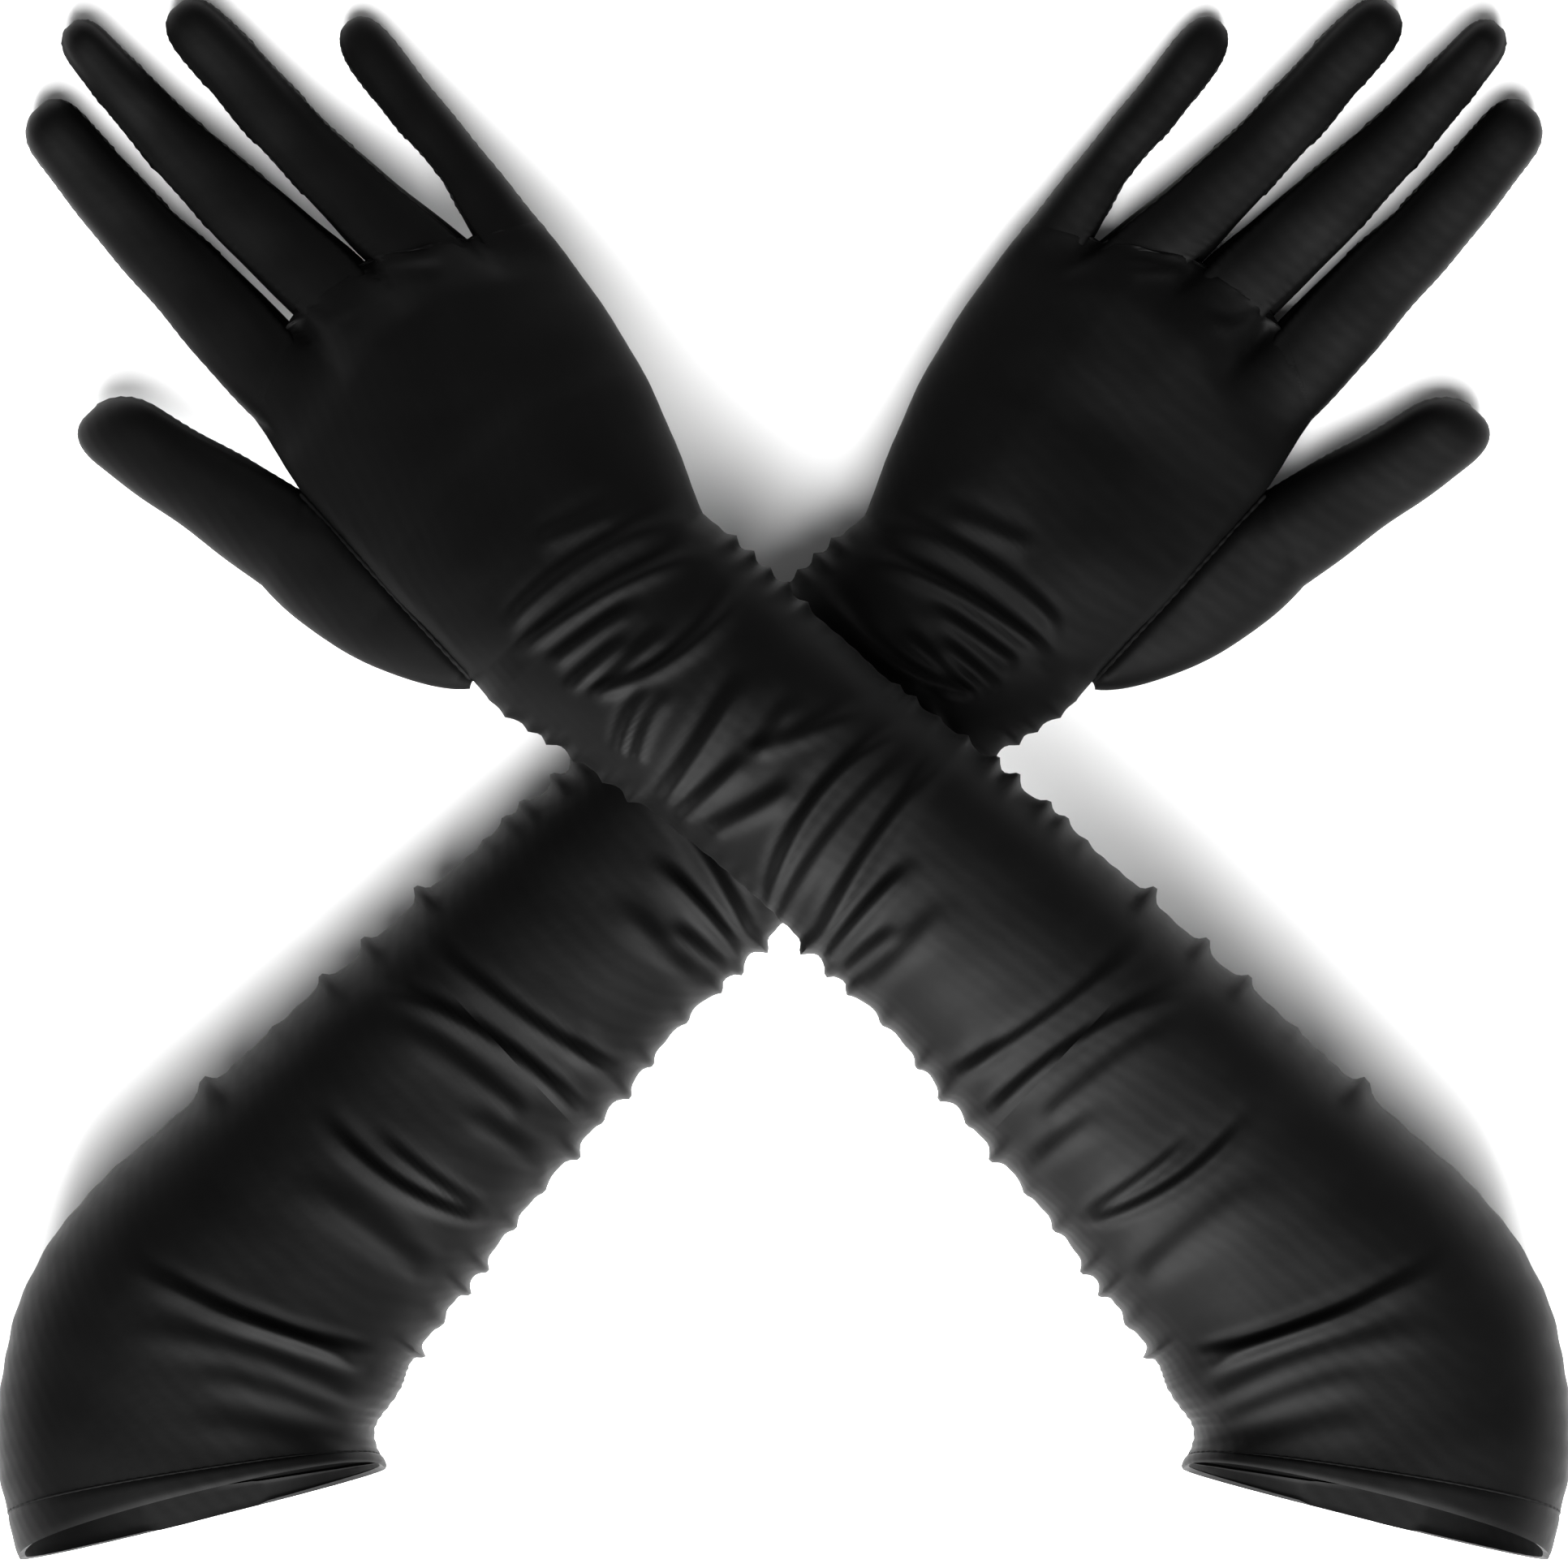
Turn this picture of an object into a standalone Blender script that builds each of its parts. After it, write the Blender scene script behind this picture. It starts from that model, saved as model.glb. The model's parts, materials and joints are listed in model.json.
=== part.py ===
"""A pair of opera gloves, palms up, crossed at the forearms, with hollow panels and fingers that fold.

Each glove is drawn once in plan for the left hand. The arm is a row of cross ribs, from the wrist to
the hem, and the hand is a chart of distance along the palm (u) and distance across it (v). Every
panel is a thin shell between those ribs. The right glove is the mirror of the left one, and the left
one is lifted where it lies over the right one. +Z is up, away from the surface that the pair lies on.
"""
import math

import bmesh
import bpy
import numpy as np

# Fabric and clearances, in metres.
FABRIC = 0.0010            # wall of every panel, with its seam allowance
HEM_FOLD = 0.0020          # wall of the hem, where the fabric is turned in
SEAM_GAP = 0.0007          # between two panels that are sewn together
BEND_GAP = 0.0006          # between two stretches of one panel that bend where they meet
CROSSING_CLEARANCE = 0.0015  # between the lower glove and the one that lies over it
LIFT_REACH = 0.2150        # the upper glove is back on the surface this far from the crossing
REST_FLAT = 0.0007         # how far the fabric flattens on the surface below it
SECTION_POWER = 2.35       # squareness of a section, 2 is an ellipse

# Arm, from the wrist to the hem. Each rib lies at the end of a run of its own length and heading.
# A heading and a rib's slant are in degrees in plan; a heading of -90 runs towards -Y.
CROSSING_Y = 0.0068        # the two arms' centre lines cross at X = 0 and this Y
WRIST_RIB = {"run": 0.0559, "heading": 141.8, "slant": 41.0, "width": 0.0660, "depth": 0.0400}
CROSSING_RIB = {"slant": 46.5, "width": 0.0585, "depth": 0.0450}
FOREARM_RIB = {"run": 0.0646, "heading": -41.7, "slant": 47.0, "width": 0.0630, "depth": 0.0500}
UPPER_FOREARM_RIB = {"run": 0.0851, "heading": -46.2, "slant": 45.0, "width": 0.0765, "depth": 0.0600}
ELBOW_RIB = {"run": 0.0360, "heading": -48.3, "slant": 23.6, "width": 0.0892, "depth": 0.0660}
CUFF_RIB = {"run": 0.0270, "heading": -70.0, "slant": 2.0, "width": 0.0885, "depth": 0.0680}
HEM_RIB = {"run": 0.0218, "heading": -100.0, "slant": -14.0, "width": 0.0885, "depth": 0.0700}
HEM_WIDTH = 0.0070
HEM_SET_BACK = 0.0065      # how far the hem's upper edge rises towards the elbow
HEM_LIP = 0.0025           # how far its lower edge runs on past the sides

# Hand, in the chart of u along the palm from the wrist and v across it towards the little finger.
HAND_HEADING = 131.3
CROTCHES_U = (0.0878, 0.0994, 0.0972, 0.0848, 0.0776)  # thumb side, the three crotches, little side
PALM_HEEL_BULGE = 0.0042   # outward swell of the little finger's side at the middle of the palm
WRIST_DEPTH = WRIST_RIB["depth"]
PALM_DEPTH = 0.0330
KNUCKLE_DEPTH = 0.0205

# Fingers. Widths and the spaces between them are given at two distances along the palm, near the
# web and near the tips; the centre lines run straight through both and lean over past them.
WEB_U = 0.1170
SPREAD_U = 0.1550
INDEX_EDGE = (-0.0314, -0.0316)
FINGERS = {
    "index": {"widths": (0.0206, 0.0164), "space": (0.0010, 0.0045), "tip_u": 0.1765,
              "lean": 0.0036, "depth": 0.0178},
    "middle": {"widths": (0.0202, 0.0148), "space": (0.0014, 0.0072), "tip_u": 0.1860,
               "lean": 0.0034, "depth": 0.0182},
    "ring": {"widths": (0.0176, 0.0148), "space": (0.0100, 0.0150), "tip_u": 0.1730,
             "lean": 0.0014, "depth": 0.0172},
    "little": {"widths": (0.0120, 0.0118), "space": (0.0, 0.0), "tip_u": 0.1435,
               "lean": 0.0006, "depth": 0.0142},
}
TIP_TAPER = 0.80           # a fingertip's depth as a share of its root's
TIP_ROUND = 0.0110         # length of the rounded end
FOURCHETTE_HEIGHTS = (0.58, 0.22)  # half height at the crotch and near the tip, share of the depth

# Thumb, sewn to the palm along a straight seam and free past its crotch.
THUMB_SEAM = ((0.0050, -0.0330), (0.0660, -0.0346))
THUMB_SPREAD = 15.5        # degrees between the thumb and the hand's own line
THUMB_LENGTH = 0.0545      # from the crotch's rib to the tip
THUMB_BASE_WIDTH = 0.0228
THUMB_TIP_WIDTH = 0.0170
THUMB_DEPTH = 0.0205
THUMB_RIB_SLANT = 26.0     # degrees that the thumb's ribs lean towards the wrist
SEWN_SHARES = (0.06, 0.2, 0.4, 0.6, 0.8, 1.0)  # ribs along the seam, from the wrist to the crotch
SEAM_OVERLAP = 0.0080      # how far palm and thumb would run on past their seam if they were whole
GUSSET_LENGTH = 0.0170
GUSSET_HEIGHTS = (0.60, 0.12)  # half height at the crotch and at the point, share of the depth

# Range of the grids.
ARM_COLUMNS = 10
FINGER_COLUMNS = 6
SLOT_COLUMNS = (4, 3, 3, 2)  # the palm's columns in front of each finger, from the index on
PALM_ROWS = 6
RIB_SPACING = 0.0210       # longest step between two ribs of an arm

BLACK_SATIN = (0.012, 0.012, 0.013, 1.0)


def clear_scene():
    for obj in list(bpy.data.objects):
        bpy.data.objects.remove(obj, do_unlink=True)


def unit(degrees):
    """Plan direction at an angle from +X."""
    angle = math.radians(degrees)
    return np.array([math.cos(angle), math.sin(angle)])


def arch(offset):
    """Height of the section at an offset from its middle, both as shares of its half sizes."""
    return (1.0 - np.abs(np.clip(offset, -1.0, 1.0)) ** SECTION_POWER) ** (1.0 / SECTION_POWER)


def spread(start, end, count):
    """Offsets across a section, closer together towards its sides."""
    angles = np.linspace(math.acos(-start), math.acos(-end), count + 1)
    return -np.cos(angles)


def smooth_through(keys, steps):
    """Rows of numbers on a smooth curve through the key rows, with some steps after each key."""
    keys = np.asarray(keys, dtype=float)
    padded = np.vstack([2 * keys[0] - keys[1], keys, 2 * keys[-1] - keys[-2]])
    rows = []
    for index, count in enumerate(steps):
        before, start, end, after = padded[index:index + 4]
        for t in np.arange(count) / count:
            rows.append(0.5 * (2 * start + (end - before) * t
                               + (2 * before - 5 * start + 4 * end - after) * t ** 2
                               + (3 * start - before - 3 * end + after) * t ** 3))
    rows.append(keys[-1])
    return np.array(rows)


# ---------------------------------------------------------------------------------------------
# Ribs: plan position of both ends, height of the middle and half the depth
# ---------------------------------------------------------------------------------------------

def arm_rib(centre, sizes):
    """One rib as (inner x, inner y, outer x, outer y, depth)."""
    half = unit(sizes["slant"]) * sizes["width"] / 2
    return np.array([*(centre - half), *(centre + half), sizes["depth"]])


def arm_keys():
    crossing = np.array([0.0, CROSSING_Y])
    centres = [crossing + unit(WRIST_RIB["heading"]) * WRIST_RIB["run"], crossing]
    ribs = [WRIST_RIB, CROSSING_RIB]
    for rib in (FOREARM_RIB, UPPER_FOREARM_RIB, ELBOW_RIB, CUFF_RIB, HEM_RIB):
        centres.append(centres[-1] + unit(rib["heading"]) * rib["run"])
        ribs.append(rib)
    return np.array([arm_rib(centre, rib) for centre, rib in zip(centres, ribs)])


ARM_KEYS = arm_keys()
ELBOW_KEY = 4
WRIST_CENTRE = (ARM_KEYS[0, 0:2] + ARM_KEYS[0, 2:4]) / 2
ALONG = unit(HAND_HEADING)
ACROSS = unit(HAND_HEADING - 90.0)


def hand_point(u, v):
    """Plan position of a place in the hand's chart; u and v may be arrays."""
    return WRIST_CENTRE + np.multiply.outer(u, ALONG) + np.multiply.outer(v, ACROSS)


def run_steps(keys):
    centres = (keys[:, 0:2] + keys[:, 2:4]) / 2
    lengths = np.linalg.norm(np.diff(centres, axis=0), axis=1)
    return [max(2, math.ceil(length / RIB_SPACING)) for length in lengths]


def finger_edges():
    """Each finger's two edges in v, as pairs of values at WEB_U and SPREAD_U."""
    edges = {}
    left = np.array(INDEX_EDGE)
    for name, finger in FINGERS.items():
        right = left + np.array(finger["widths"])
        edges[name] = (left, right)
        left = right + np.array(finger["space"])
    return edges


FINGER_EDGES = finger_edges()


def along_line(pair, u):
    """Value at u of a line given by its values at WEB_U and SPREAD_U."""
    return pair[0] + (pair[1] - pair[0]) * (u - WEB_U) / (SPREAD_U - WEB_U)


def crotch_points():
    """The five ends of the knuckle line in the hand's chart, from the index side on."""
    names = list(FINGERS)
    lines = [FINGER_EDGES[names[0]][0]]
    for first, second in zip(names, names[1:]):
        lines.append((FINGER_EDGES[first][1] + FINGER_EDGES[second][0]) / 2)
    lines.append(FINGER_EDGES[names[-1]][1])
    return np.array([(u, along_line(line, u)) for u, line in zip(CROTCHES_U, lines)])


CROTCHES = crotch_points()


def knuckle_u(v):
    """How far along the palm the knuckle line lies, at v."""
    return np.interp(v, CROTCHES[:, 1], CROTCHES[:, 0])


def seam_v(u):
    """The thumb seam's place across the palm, at u."""
    (u0, v0), (u1, v1) = THUMB_SEAM
    return v0 + (v1 - v0) * (np.asarray(u) - u0) / (u1 - u0)


def seam_overlap(u):
    """How far palm and thumb would overlap at the seam: none at the wrist and past the crotch."""
    (u0, _), (u1, _) = THUMB_SEAM
    rise = np.clip((u - u0) / (0.35 * (u1 - u0)), 0.0, 1.0)
    fall = np.clip((CROTCHES_U[0] - u) / (CROTCHES_U[0] - u1), 0.0, 1.0)
    return SEAM_OVERLAP * np.sin(rise * math.pi / 2) * np.sin(fall * math.pi / 2)


def palm_sides(share):
    """The palm's two sides in v and its depth, at a share of the way from wrist to knuckles."""
    half_wrist = WRIST_RIB["width"] / 2
    u = share * CROTCHES_U[0]
    crotch_share = THUMB_SEAM[1][0] / CROTCHES_U[0]
    past = np.clip((share - crotch_share) / (1 - crotch_share), 0.0, 1.0)
    thumb_side = seam_v(u) * (1 - past) + CROTCHES[0, 1] * past
    little_side = half_wrist + (CROTCHES[4, 1] - half_wrist) * share
    little_side = little_side + PALM_HEEL_BULGE * math.sin(share * math.pi)
    depths = (WRIST_DEPTH, PALM_DEPTH, KNUCKLE_DEPTH)
    depth = np.interp(share, (0.0, 0.45, 1.0), depths)
    return thumb_side, little_side, depth


# ---------------------------------------------------------------------------------------------
# Lift of the upper glove, and the flat where the fabric rests
# ---------------------------------------------------------------------------------------------

LIFT_HEIGHT = CROSSING_RIB["depth"] + CROSSING_CLEARANCE


def lift(points):
    """How far the upper glove rises over the lower one, by its distance from the crossing."""
    distance = np.hypot(points[..., 0], points[..., 1] - CROSSING_Y)
    share = np.clip(distance / LIFT_REACH, 0.0, 1.0)
    return LIFT_HEIGHT * (1 - share ** 2) ** 2


# ---------------------------------------------------------------------------------------------
# Shells
# ---------------------------------------------------------------------------------------------

def rest(points, inset):
    """Lower the points by the rest's flat and stop them at the surface, or a wall above it."""
    points = points.copy()
    points[..., 2] = np.maximum(points[..., 2] - REST_FLAT, inset)
    return points


def make_object(name, rows_out, rows_in, glove, material, closed=False):
    """One panel between an outer and an inner grid of points, joined round their edges."""
    outer, inner = rest(rows_out, 0.0), rest(rows_in, FABRIC)
    grids = np.stack([outer, inner])
    if glove == "left":
        grids[..., 2] += lift(grids)
    else:
        grids[..., 0] *= -1
    _, rows, columns, _ = grids.shape
    number = np.arange(2 * rows * columns).reshape(2, rows, columns)
    if closed:
        number = np.concatenate([number, number[:, :, :1]], axis=2)
    faces = []
    for skin in number:
        corners = (skin[:-1, :-1], skin[1:, :-1], skin[1:, 1:], skin[:-1, 1:])
        faces += np.stack(corners, axis=-1).reshape(-1, 4).tolist()
    rims = [(number[0, 0], number[1, 0]), (number[0, -1], number[1, -1])]
    if not closed:
        rims += [(number[0, :, 0], number[1, :, 0]), (number[0, :, -1], number[1, :, -1])]
    for top, bottom in rims:
        corners = (top[:-1], top[1:], bottom[1:], bottom[:-1])
        faces += np.stack(corners, axis=-1).reshape(-1, 4).tolist()
    mesh = bpy.data.meshes.new(name)
    mesh.from_pydata(grids.reshape(-1, 3).tolist(), [], faces)
    work = bmesh.new()
    work.from_mesh(mesh)
    bmesh.ops.remove_doubles(work, verts=work.verts, dist=1e-6)
    bmesh.ops.triangulate(work, faces=work.faces)
    bmesh.ops.recalc_face_normals(work, faces=work.faces)
    work.to_mesh(mesh)
    work.free()
    mesh.shade_smooth()
    mesh.set_sharp_from_angle(angle=math.radians(40))
    mesh.materials.append(material)
    obj = bpy.data.objects.new(name, mesh)
    bpy.context.collection.objects.link(obj)
    return obj


def section(ends, middle_height, half_depth, offsets, heights, wall):
    """Points of one section: offsets along the rib and heights over its middle, as shares.

    ends is the rib's two ends in plan; wall moves the points inwards by the fabric's thickness.
    """
    start, end = ends
    centre, half = (start + end) / 2, (end - start) / 2
    width = np.linalg.norm(half)
    half = half * (width - wall) / width
    plan = centre + np.multiply.outer(offsets, half)
    z = middle_height + (half_depth - wall) * heights
    return np.column_stack([plan, z])


def panel_rows(ribs, offsets_of, side, wall):
    """Grid of points for the upper (side 1) or lower (side -1) half of a tube."""
    rows = []
    for index, (start, end, middle, half_depth) in enumerate(ribs):
        offsets = offsets_of(index, wall)
        points = section((start, end), middle, half_depth, offsets, side * arch(offsets), wall)
        points[:, 2] += side * SEAM_GAP / 2
        rows.append(points)
    return np.array(rows)


def strip_rows(ribs, heights_of, end_sign, wall):
    """Grid of points for a strip down one side of a tube, at its first or last end."""
    rows = []
    for index, (start, end, middle, half_depth) in enumerate(ribs):
        edge = heights_of(index) - SEAM_GAP / (2 * half_depth)
        heights = np.linspace(-edge, edge, 3)
        points = section((start, end), middle, half_depth, end_sign * arch(heights), heights, wall)
        rows.append(points)
    return np.array(rows)


# ---------------------------------------------------------------------------------------------
# Arm: forearm sleeve, cuff above the elbow, and hem
# ---------------------------------------------------------------------------------------------

def plan_ribs(rows):
    return [(row[0:2], row[2:4], row[4] / 2, row[4] / 2) for row in rows]


def shifted(rows, distance):
    """The first rib moved a little along its own run, so a gap opens before it."""
    rows = rows.copy()
    run = (rows[1, 0:2] + rows[1, 2:4]) - (rows[0, 0:2] + rows[0, 2:4])
    run = run / np.linalg.norm(run)
    rows[0, 0:2] += run * distance
    rows[0, 2:4] += run * distance
    return rows


def arm_rows():
    """Ribs of the forearm and of the cuff, which meet at the elbow's rib with a gap."""
    steps = run_steps(ARM_KEYS)
    rows = smooth_through(ARM_KEYS, steps)
    elbow = sum(steps[:ELBOW_KEY])
    forearm = shifted(rows[:elbow + 1], BEND_GAP)
    return forearm, rows[elbow:]


def hem_frame():
    """Direction in which the cuff runs out at its hem."""
    return unit(HEM_RIB["slant"] - 90.0)


def arched_hem(points, share):
    """Set the upper edge back and run the lower edge on, by the share of the way to the hem."""
    middle = HEM_RIB["depth"] / 2
    height = (points[..., 2] - middle) / middle
    slide = np.where(height > 0, -HEM_SET_BACK * height, -HEM_LIP * height)
    points = points.copy()
    points[..., 0:2] += (slide * share ** 2)[..., None] * hem_frame()
    return points


def build_arm(glove, materials):
    forearm, cuff = arm_rows()
    full = spread(-1.0, 1.0, ARM_COLUMNS)
    groups = {"forearm": [], "cuff": []}
    for side, word in ((1, "front"), (-1, "back")):
        grids = [panel_rows(plan_ribs(forearm), lambda index, wall: full, side, wall)
                 for wall in (0.0, FABRIC)]
        groups["forearm"].append(make_object(f"{glove}_forearm_{word}", *grids, glove,
                                             materials["satin"]))

    cuff = shifted(cuff, BEND_GAP)
    lengths = np.linalg.norm(np.diff((cuff[:, 0:2] + cuff[:, 2:4]) / 2, axis=0), axis=1)
    total = lengths.sum()
    places = np.concatenate([[0.0], np.cumsum(lengths)])
    panel_end = total - HEM_WIDTH - BEND_GAP
    body_places = np.append(places[places < panel_end - BEND_GAP * 4], panel_end)
    hem_places = np.array([total - HEM_WIDTH, total])

    def ribs_at(wanted):
        return np.column_stack([np.interp(wanted, places, cuff[:, k]) for k in range(5)])

    for side, word in ((1, "front"), (-1, "back")):
        grids = []
        for wall in (0.0, FABRIC):
            grid = panel_rows(plan_ribs(ribs_at(body_places)), lambda index, wall: full, side, wall)
            grids.append(arched_hem(grid, (body_places / total)[:, None]))
        groups["cuff"].append(make_object(f"{glove}_cuff_{word}", *grids, glove, materials["satin"]))

    turn = np.linspace(0.0, 2 * math.pi, 2 * ARM_COLUMNS, endpoint=False)
    around = np.sign(np.cos(turn)) * np.abs(np.cos(turn)) ** (2 / SECTION_POWER)
    rise = np.sign(np.sin(turn)) * np.abs(np.sin(turn)) ** (2 / SECTION_POWER)
    grids = []
    for wall in (0.0, HEM_FOLD):
        grid = np.array([section((start, end), middle, half, around, rise, wall)
                         for start, end, middle, half in plan_ribs(ribs_at(hem_places))])
        grids.append(arched_hem(grid, (hem_places / total)[:, None]))
    groups["cuff"].append(make_object(f"{glove}_hem", *grids, glove, materials["satin"], closed=True))
    return groups


# ---------------------------------------------------------------------------------------------
# Palm and back of the hand
# ---------------------------------------------------------------------------------------------

def palm_offsets():
    """Columns across the palm, so that one falls on each crotch."""
    thumb_side, little_side, _ = palm_sides(1.0)
    middle, half = (thumb_side + little_side) / 2, (little_side - thumb_side) / 2
    marks = (CROTCHES[:, 1] - middle) / half
    columns = [spread(start, end, count)[:-1]
               for start, end, count in zip(marks, marks[1:], SLOT_COLUMNS)]
    return np.append(np.concatenate(columns), 1.0)


def palm_grid(side, wall):
    """Points of the palm (side 1) or of the back of the hand (side -1), cut along the thumb seam."""
    knuckle_offsets = palm_offsets()
    rows = []
    for share in np.linspace(0.0, 1.0, PALM_ROWS + 1):
        thumb_side, little_side, depth = palm_sides(share)
        u_edge = share * CROTCHES_U[0]
        overlap = seam_overlap(u_edge)
        low, high = thumb_side - overlap + wall, little_side - wall
        middle, half = (low + high) / 2, (high - low) / 2
        cut = (thumb_side + wall * (overlap <= wall) + SEAM_GAP / 2 * (overlap > wall) - middle) / half
        cut = max(cut, -1.0)
        angles = np.arccos(-knuckle_offsets)
        angles = math.acos(-cut) + angles * (math.pi - math.acos(-cut)) / math.pi
        offsets = -np.cos(angles)
        v = middle + half * offsets
        thumb_end, little_end, _ = palm_sides(1.0)
        v_end = (thumb_end + little_end) / 2 + (little_end - thumb_end) / 2 * knuckle_offsets
        u = share * (knuckle_u(v_end) - BEND_GAP) + (1 - share) * BEND_GAP / 2
        z = depth / 2 + side * (depth / 2 - wall) * arch(offsets) + side * SEAM_GAP / 2
        rows.append(np.column_stack([hand_point(u, v), z]))
    return np.array(rows)


def build_hand(glove, materials):
    parts = []
    for side, word in ((1, "palm"), (-1, "hand_back")):
        grids = [palm_grid(side, wall) for wall in (0.0, FABRIC)]
        parts.append(make_object(f"{glove}_{word}", *grids, glove, materials["satin"]))
    return {"hand": parts}


# ---------------------------------------------------------------------------------------------
# Fingers
# ---------------------------------------------------------------------------------------------

def finger_lean(finger, u):
    """Sideways lean of a finger towards its tip, on top of its straight centre line."""
    start = (CROTCHES_U[0] + finger["tip_u"]) / 2
    return finger["lean"] * np.clip((u - start) / (finger["tip_u"] - start), 0.0, 1.0) ** 2


def finger_ribs(name, slot):
    """Ribs of a finger from its root to its tip, and the share of the length at each."""
    finger = FINGERS[name]
    left, right = FINGER_EDGES[name]
    root = CROTCHES[slot:slot + 2] + np.array([(BEND_GAP, SEAM_GAP / 2), (BEND_GAP, -SEAM_GAP / 2)])
    root_u = root[:, 0].mean()
    tip_u = finger["tip_u"]
    round_start = tip_u - TIP_ROUND
    web = min(WEB_U, root_u + 0.4 * (round_start - root_u))
    tip_steps = np.array([0.0, 0.40, 0.72, 0.93])
    free = np.concatenate([np.linspace(web, round_start, 3)[:-1], round_start + tip_steps * TIP_ROUND])
    rounding = np.concatenate([[1.0, 1.0], np.sqrt(1 - tip_steps ** 2)])
    ribs = [(root[0], root[1], KNUCKLE_DEPTH / 2, finger["depth"] / 2)]
    for u, share in zip(free, rounding):
        along = (u - root_u) / (tip_u - root_u)
        low, high = along_line(left, u), along_line(right, u)
        middle_v, half = (low + high) / 2 + finger_lean(finger, u), (high - low) / 2
        half_depth = finger["depth"] / 2 * (1 + (TIP_TAPER - 1) * along)
        middle = KNUCKLE_DEPTH / 2 + (TIP_TAPER * finger["depth"] / 2 - KNUCKLE_DEPTH / 2) * along
        ribs.append(((u, middle_v - half * share), (u, middle_v + half * share), middle,
                     half_depth * share))
    tip_v = (along_line(left, tip_u) + along_line(right, tip_u)) / 2 + finger["lean"]
    tip_z = ribs[-1][2]
    shares = np.concatenate([[0.0], (free - root_u) / (tip_u - root_u)])
    ribs = [(hand_point(*start), hand_point(*end), middle, depth) for start, end, middle, depth in ribs]
    return ribs, shares, np.array([*hand_point(tip_u, tip_v), tip_z])


def closed_tip(grid, tip, side, wall):
    """Add the row where a tip closes to a point."""
    point = tip + np.array([*(-wall * ALONG), side * SEAM_GAP / 2])
    return np.concatenate([grid, np.tile(point, (1, grid.shape[1], 1))])


def build_finger(glove, name, slot, materials):
    ribs, shares, tip = finger_ribs(name, slot)
    names = list(FINGERS)
    last_strip = len(ribs) - 4
    has_strip = (slot > 0, slot < len(names) - 1)
    root_height, tip_height = FOURCHETTE_HEIGHTS

    def strip_height(index):
        return root_height + (tip_height - root_height) * shares[index] / shares[last_strip]

    def offsets_of(index, wall):
        edges = [arch(strip_height(index)) if strip and index <= last_strip else 1.0
                 for strip in has_strip]
        return spread(-edges[0], edges[1], FINGER_COLUMNS)

    parts = []
    for side, word in ((1, "front"), (-1, "back")):
        grids = [closed_tip(panel_rows(ribs, offsets_of, side, wall), tip, side, wall)
                 for wall in (0.0, FABRIC)]
        parts.append(make_object(f"{glove}_{name}_{word}", *grids, glove, materials["satin"]))
    for sign, strip, neighbour in ((-1, has_strip[0], slot - 1), (1, has_strip[1], slot + 1)):
        if strip:
            grids = [strip_rows(ribs[:last_strip + 1], strip_height, sign, wall)
                     for wall in (0.0, FABRIC)]
            parts.append(make_object(f"{glove}_{name}_side_to_{names[neighbour]}", *grids, glove,
                                     materials["satin"]))
    return {name: parts}


# ---------------------------------------------------------------------------------------------
# Thumb
# ---------------------------------------------------------------------------------------------

def thumb_ribs():
    """Ribs of the thumb in the hand's chart: sewn along the seam, then free to the tip."""
    (u0, _), (u1, _) = THUMB_SEAM
    lean = math.radians(THUMB_RIB_SLANT)
    outward = np.array([-math.sin(lean), -math.cos(lean)])
    _, _, palm_depth = palm_sides(u1 / CROTCHES_U[0])
    ribs = []
    for share in SEWN_SHARES:
        u = u0 + (u1 - u0) * share
        bump = seam_overlap(u) if share < 1.0 else 0.0
        width = THUMB_BASE_WIDTH * math.sin(share * math.pi / 2) ** 0.8
        start = np.array([u, seam_v(u) - SEAM_GAP / 2]) - outward * bump
        end = np.array([u, seam_v(u) - SEAM_GAP / 2]) + outward * width
        _, _, depth = palm_sides(u / CROTCHES_U[0])
        half_depth = THUMB_DEPTH / 2 * (0.45 + 0.55 * math.sin(share * math.pi / 2))
        ribs.append((start, end, depth / 2, half_depth, bump))
    crotch = np.array([u1, seam_v(u1) - SEAM_GAP / 2])
    centre = crotch + outward * THUMB_BASE_WIDTH / 2
    spread_angle = math.radians(THUMB_SPREAD)
    ahead = np.array([math.cos(spread_angle), -math.sin(spread_angle)])
    tip_steps = np.array([0.0, 0.40, 0.72, 0.93])
    distances = np.concatenate([[GUSSET_LENGTH / 2, GUSSET_LENGTH],
                                THUMB_LENGTH - TIP_ROUND + tip_steps * TIP_ROUND])
    rounding = np.concatenate([[1.0, 1.0], np.sqrt(1 - tip_steps ** 2)])
    for distance, share in zip(distances, rounding):
        along = distance / THUMB_LENGTH
        width = THUMB_BASE_WIDTH + (THUMB_TIP_WIDTH - THUMB_BASE_WIDTH) * along
        turn = math.radians(THUMB_RIB_SLANT * (1 - along))
        out = np.array([-math.sin(turn), -math.cos(turn)])
        middle = centre + ahead * distance
        half_depth = THUMB_DEPTH / 2 * (1 + (TIP_TAPER - 1) * along)
        height = palm_depth / 2 + (TIP_TAPER * THUMB_DEPTH / 2 - palm_depth / 2) * along
        ribs.append((middle - out * width / 2 * share, middle + out * width / 2 * share, height,
                     half_depth * share, 0.0))
    tip = centre + ahead * THUMB_LENGTH
    return ribs, np.array([*hand_point(*tip), ribs[-1][2]])


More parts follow.
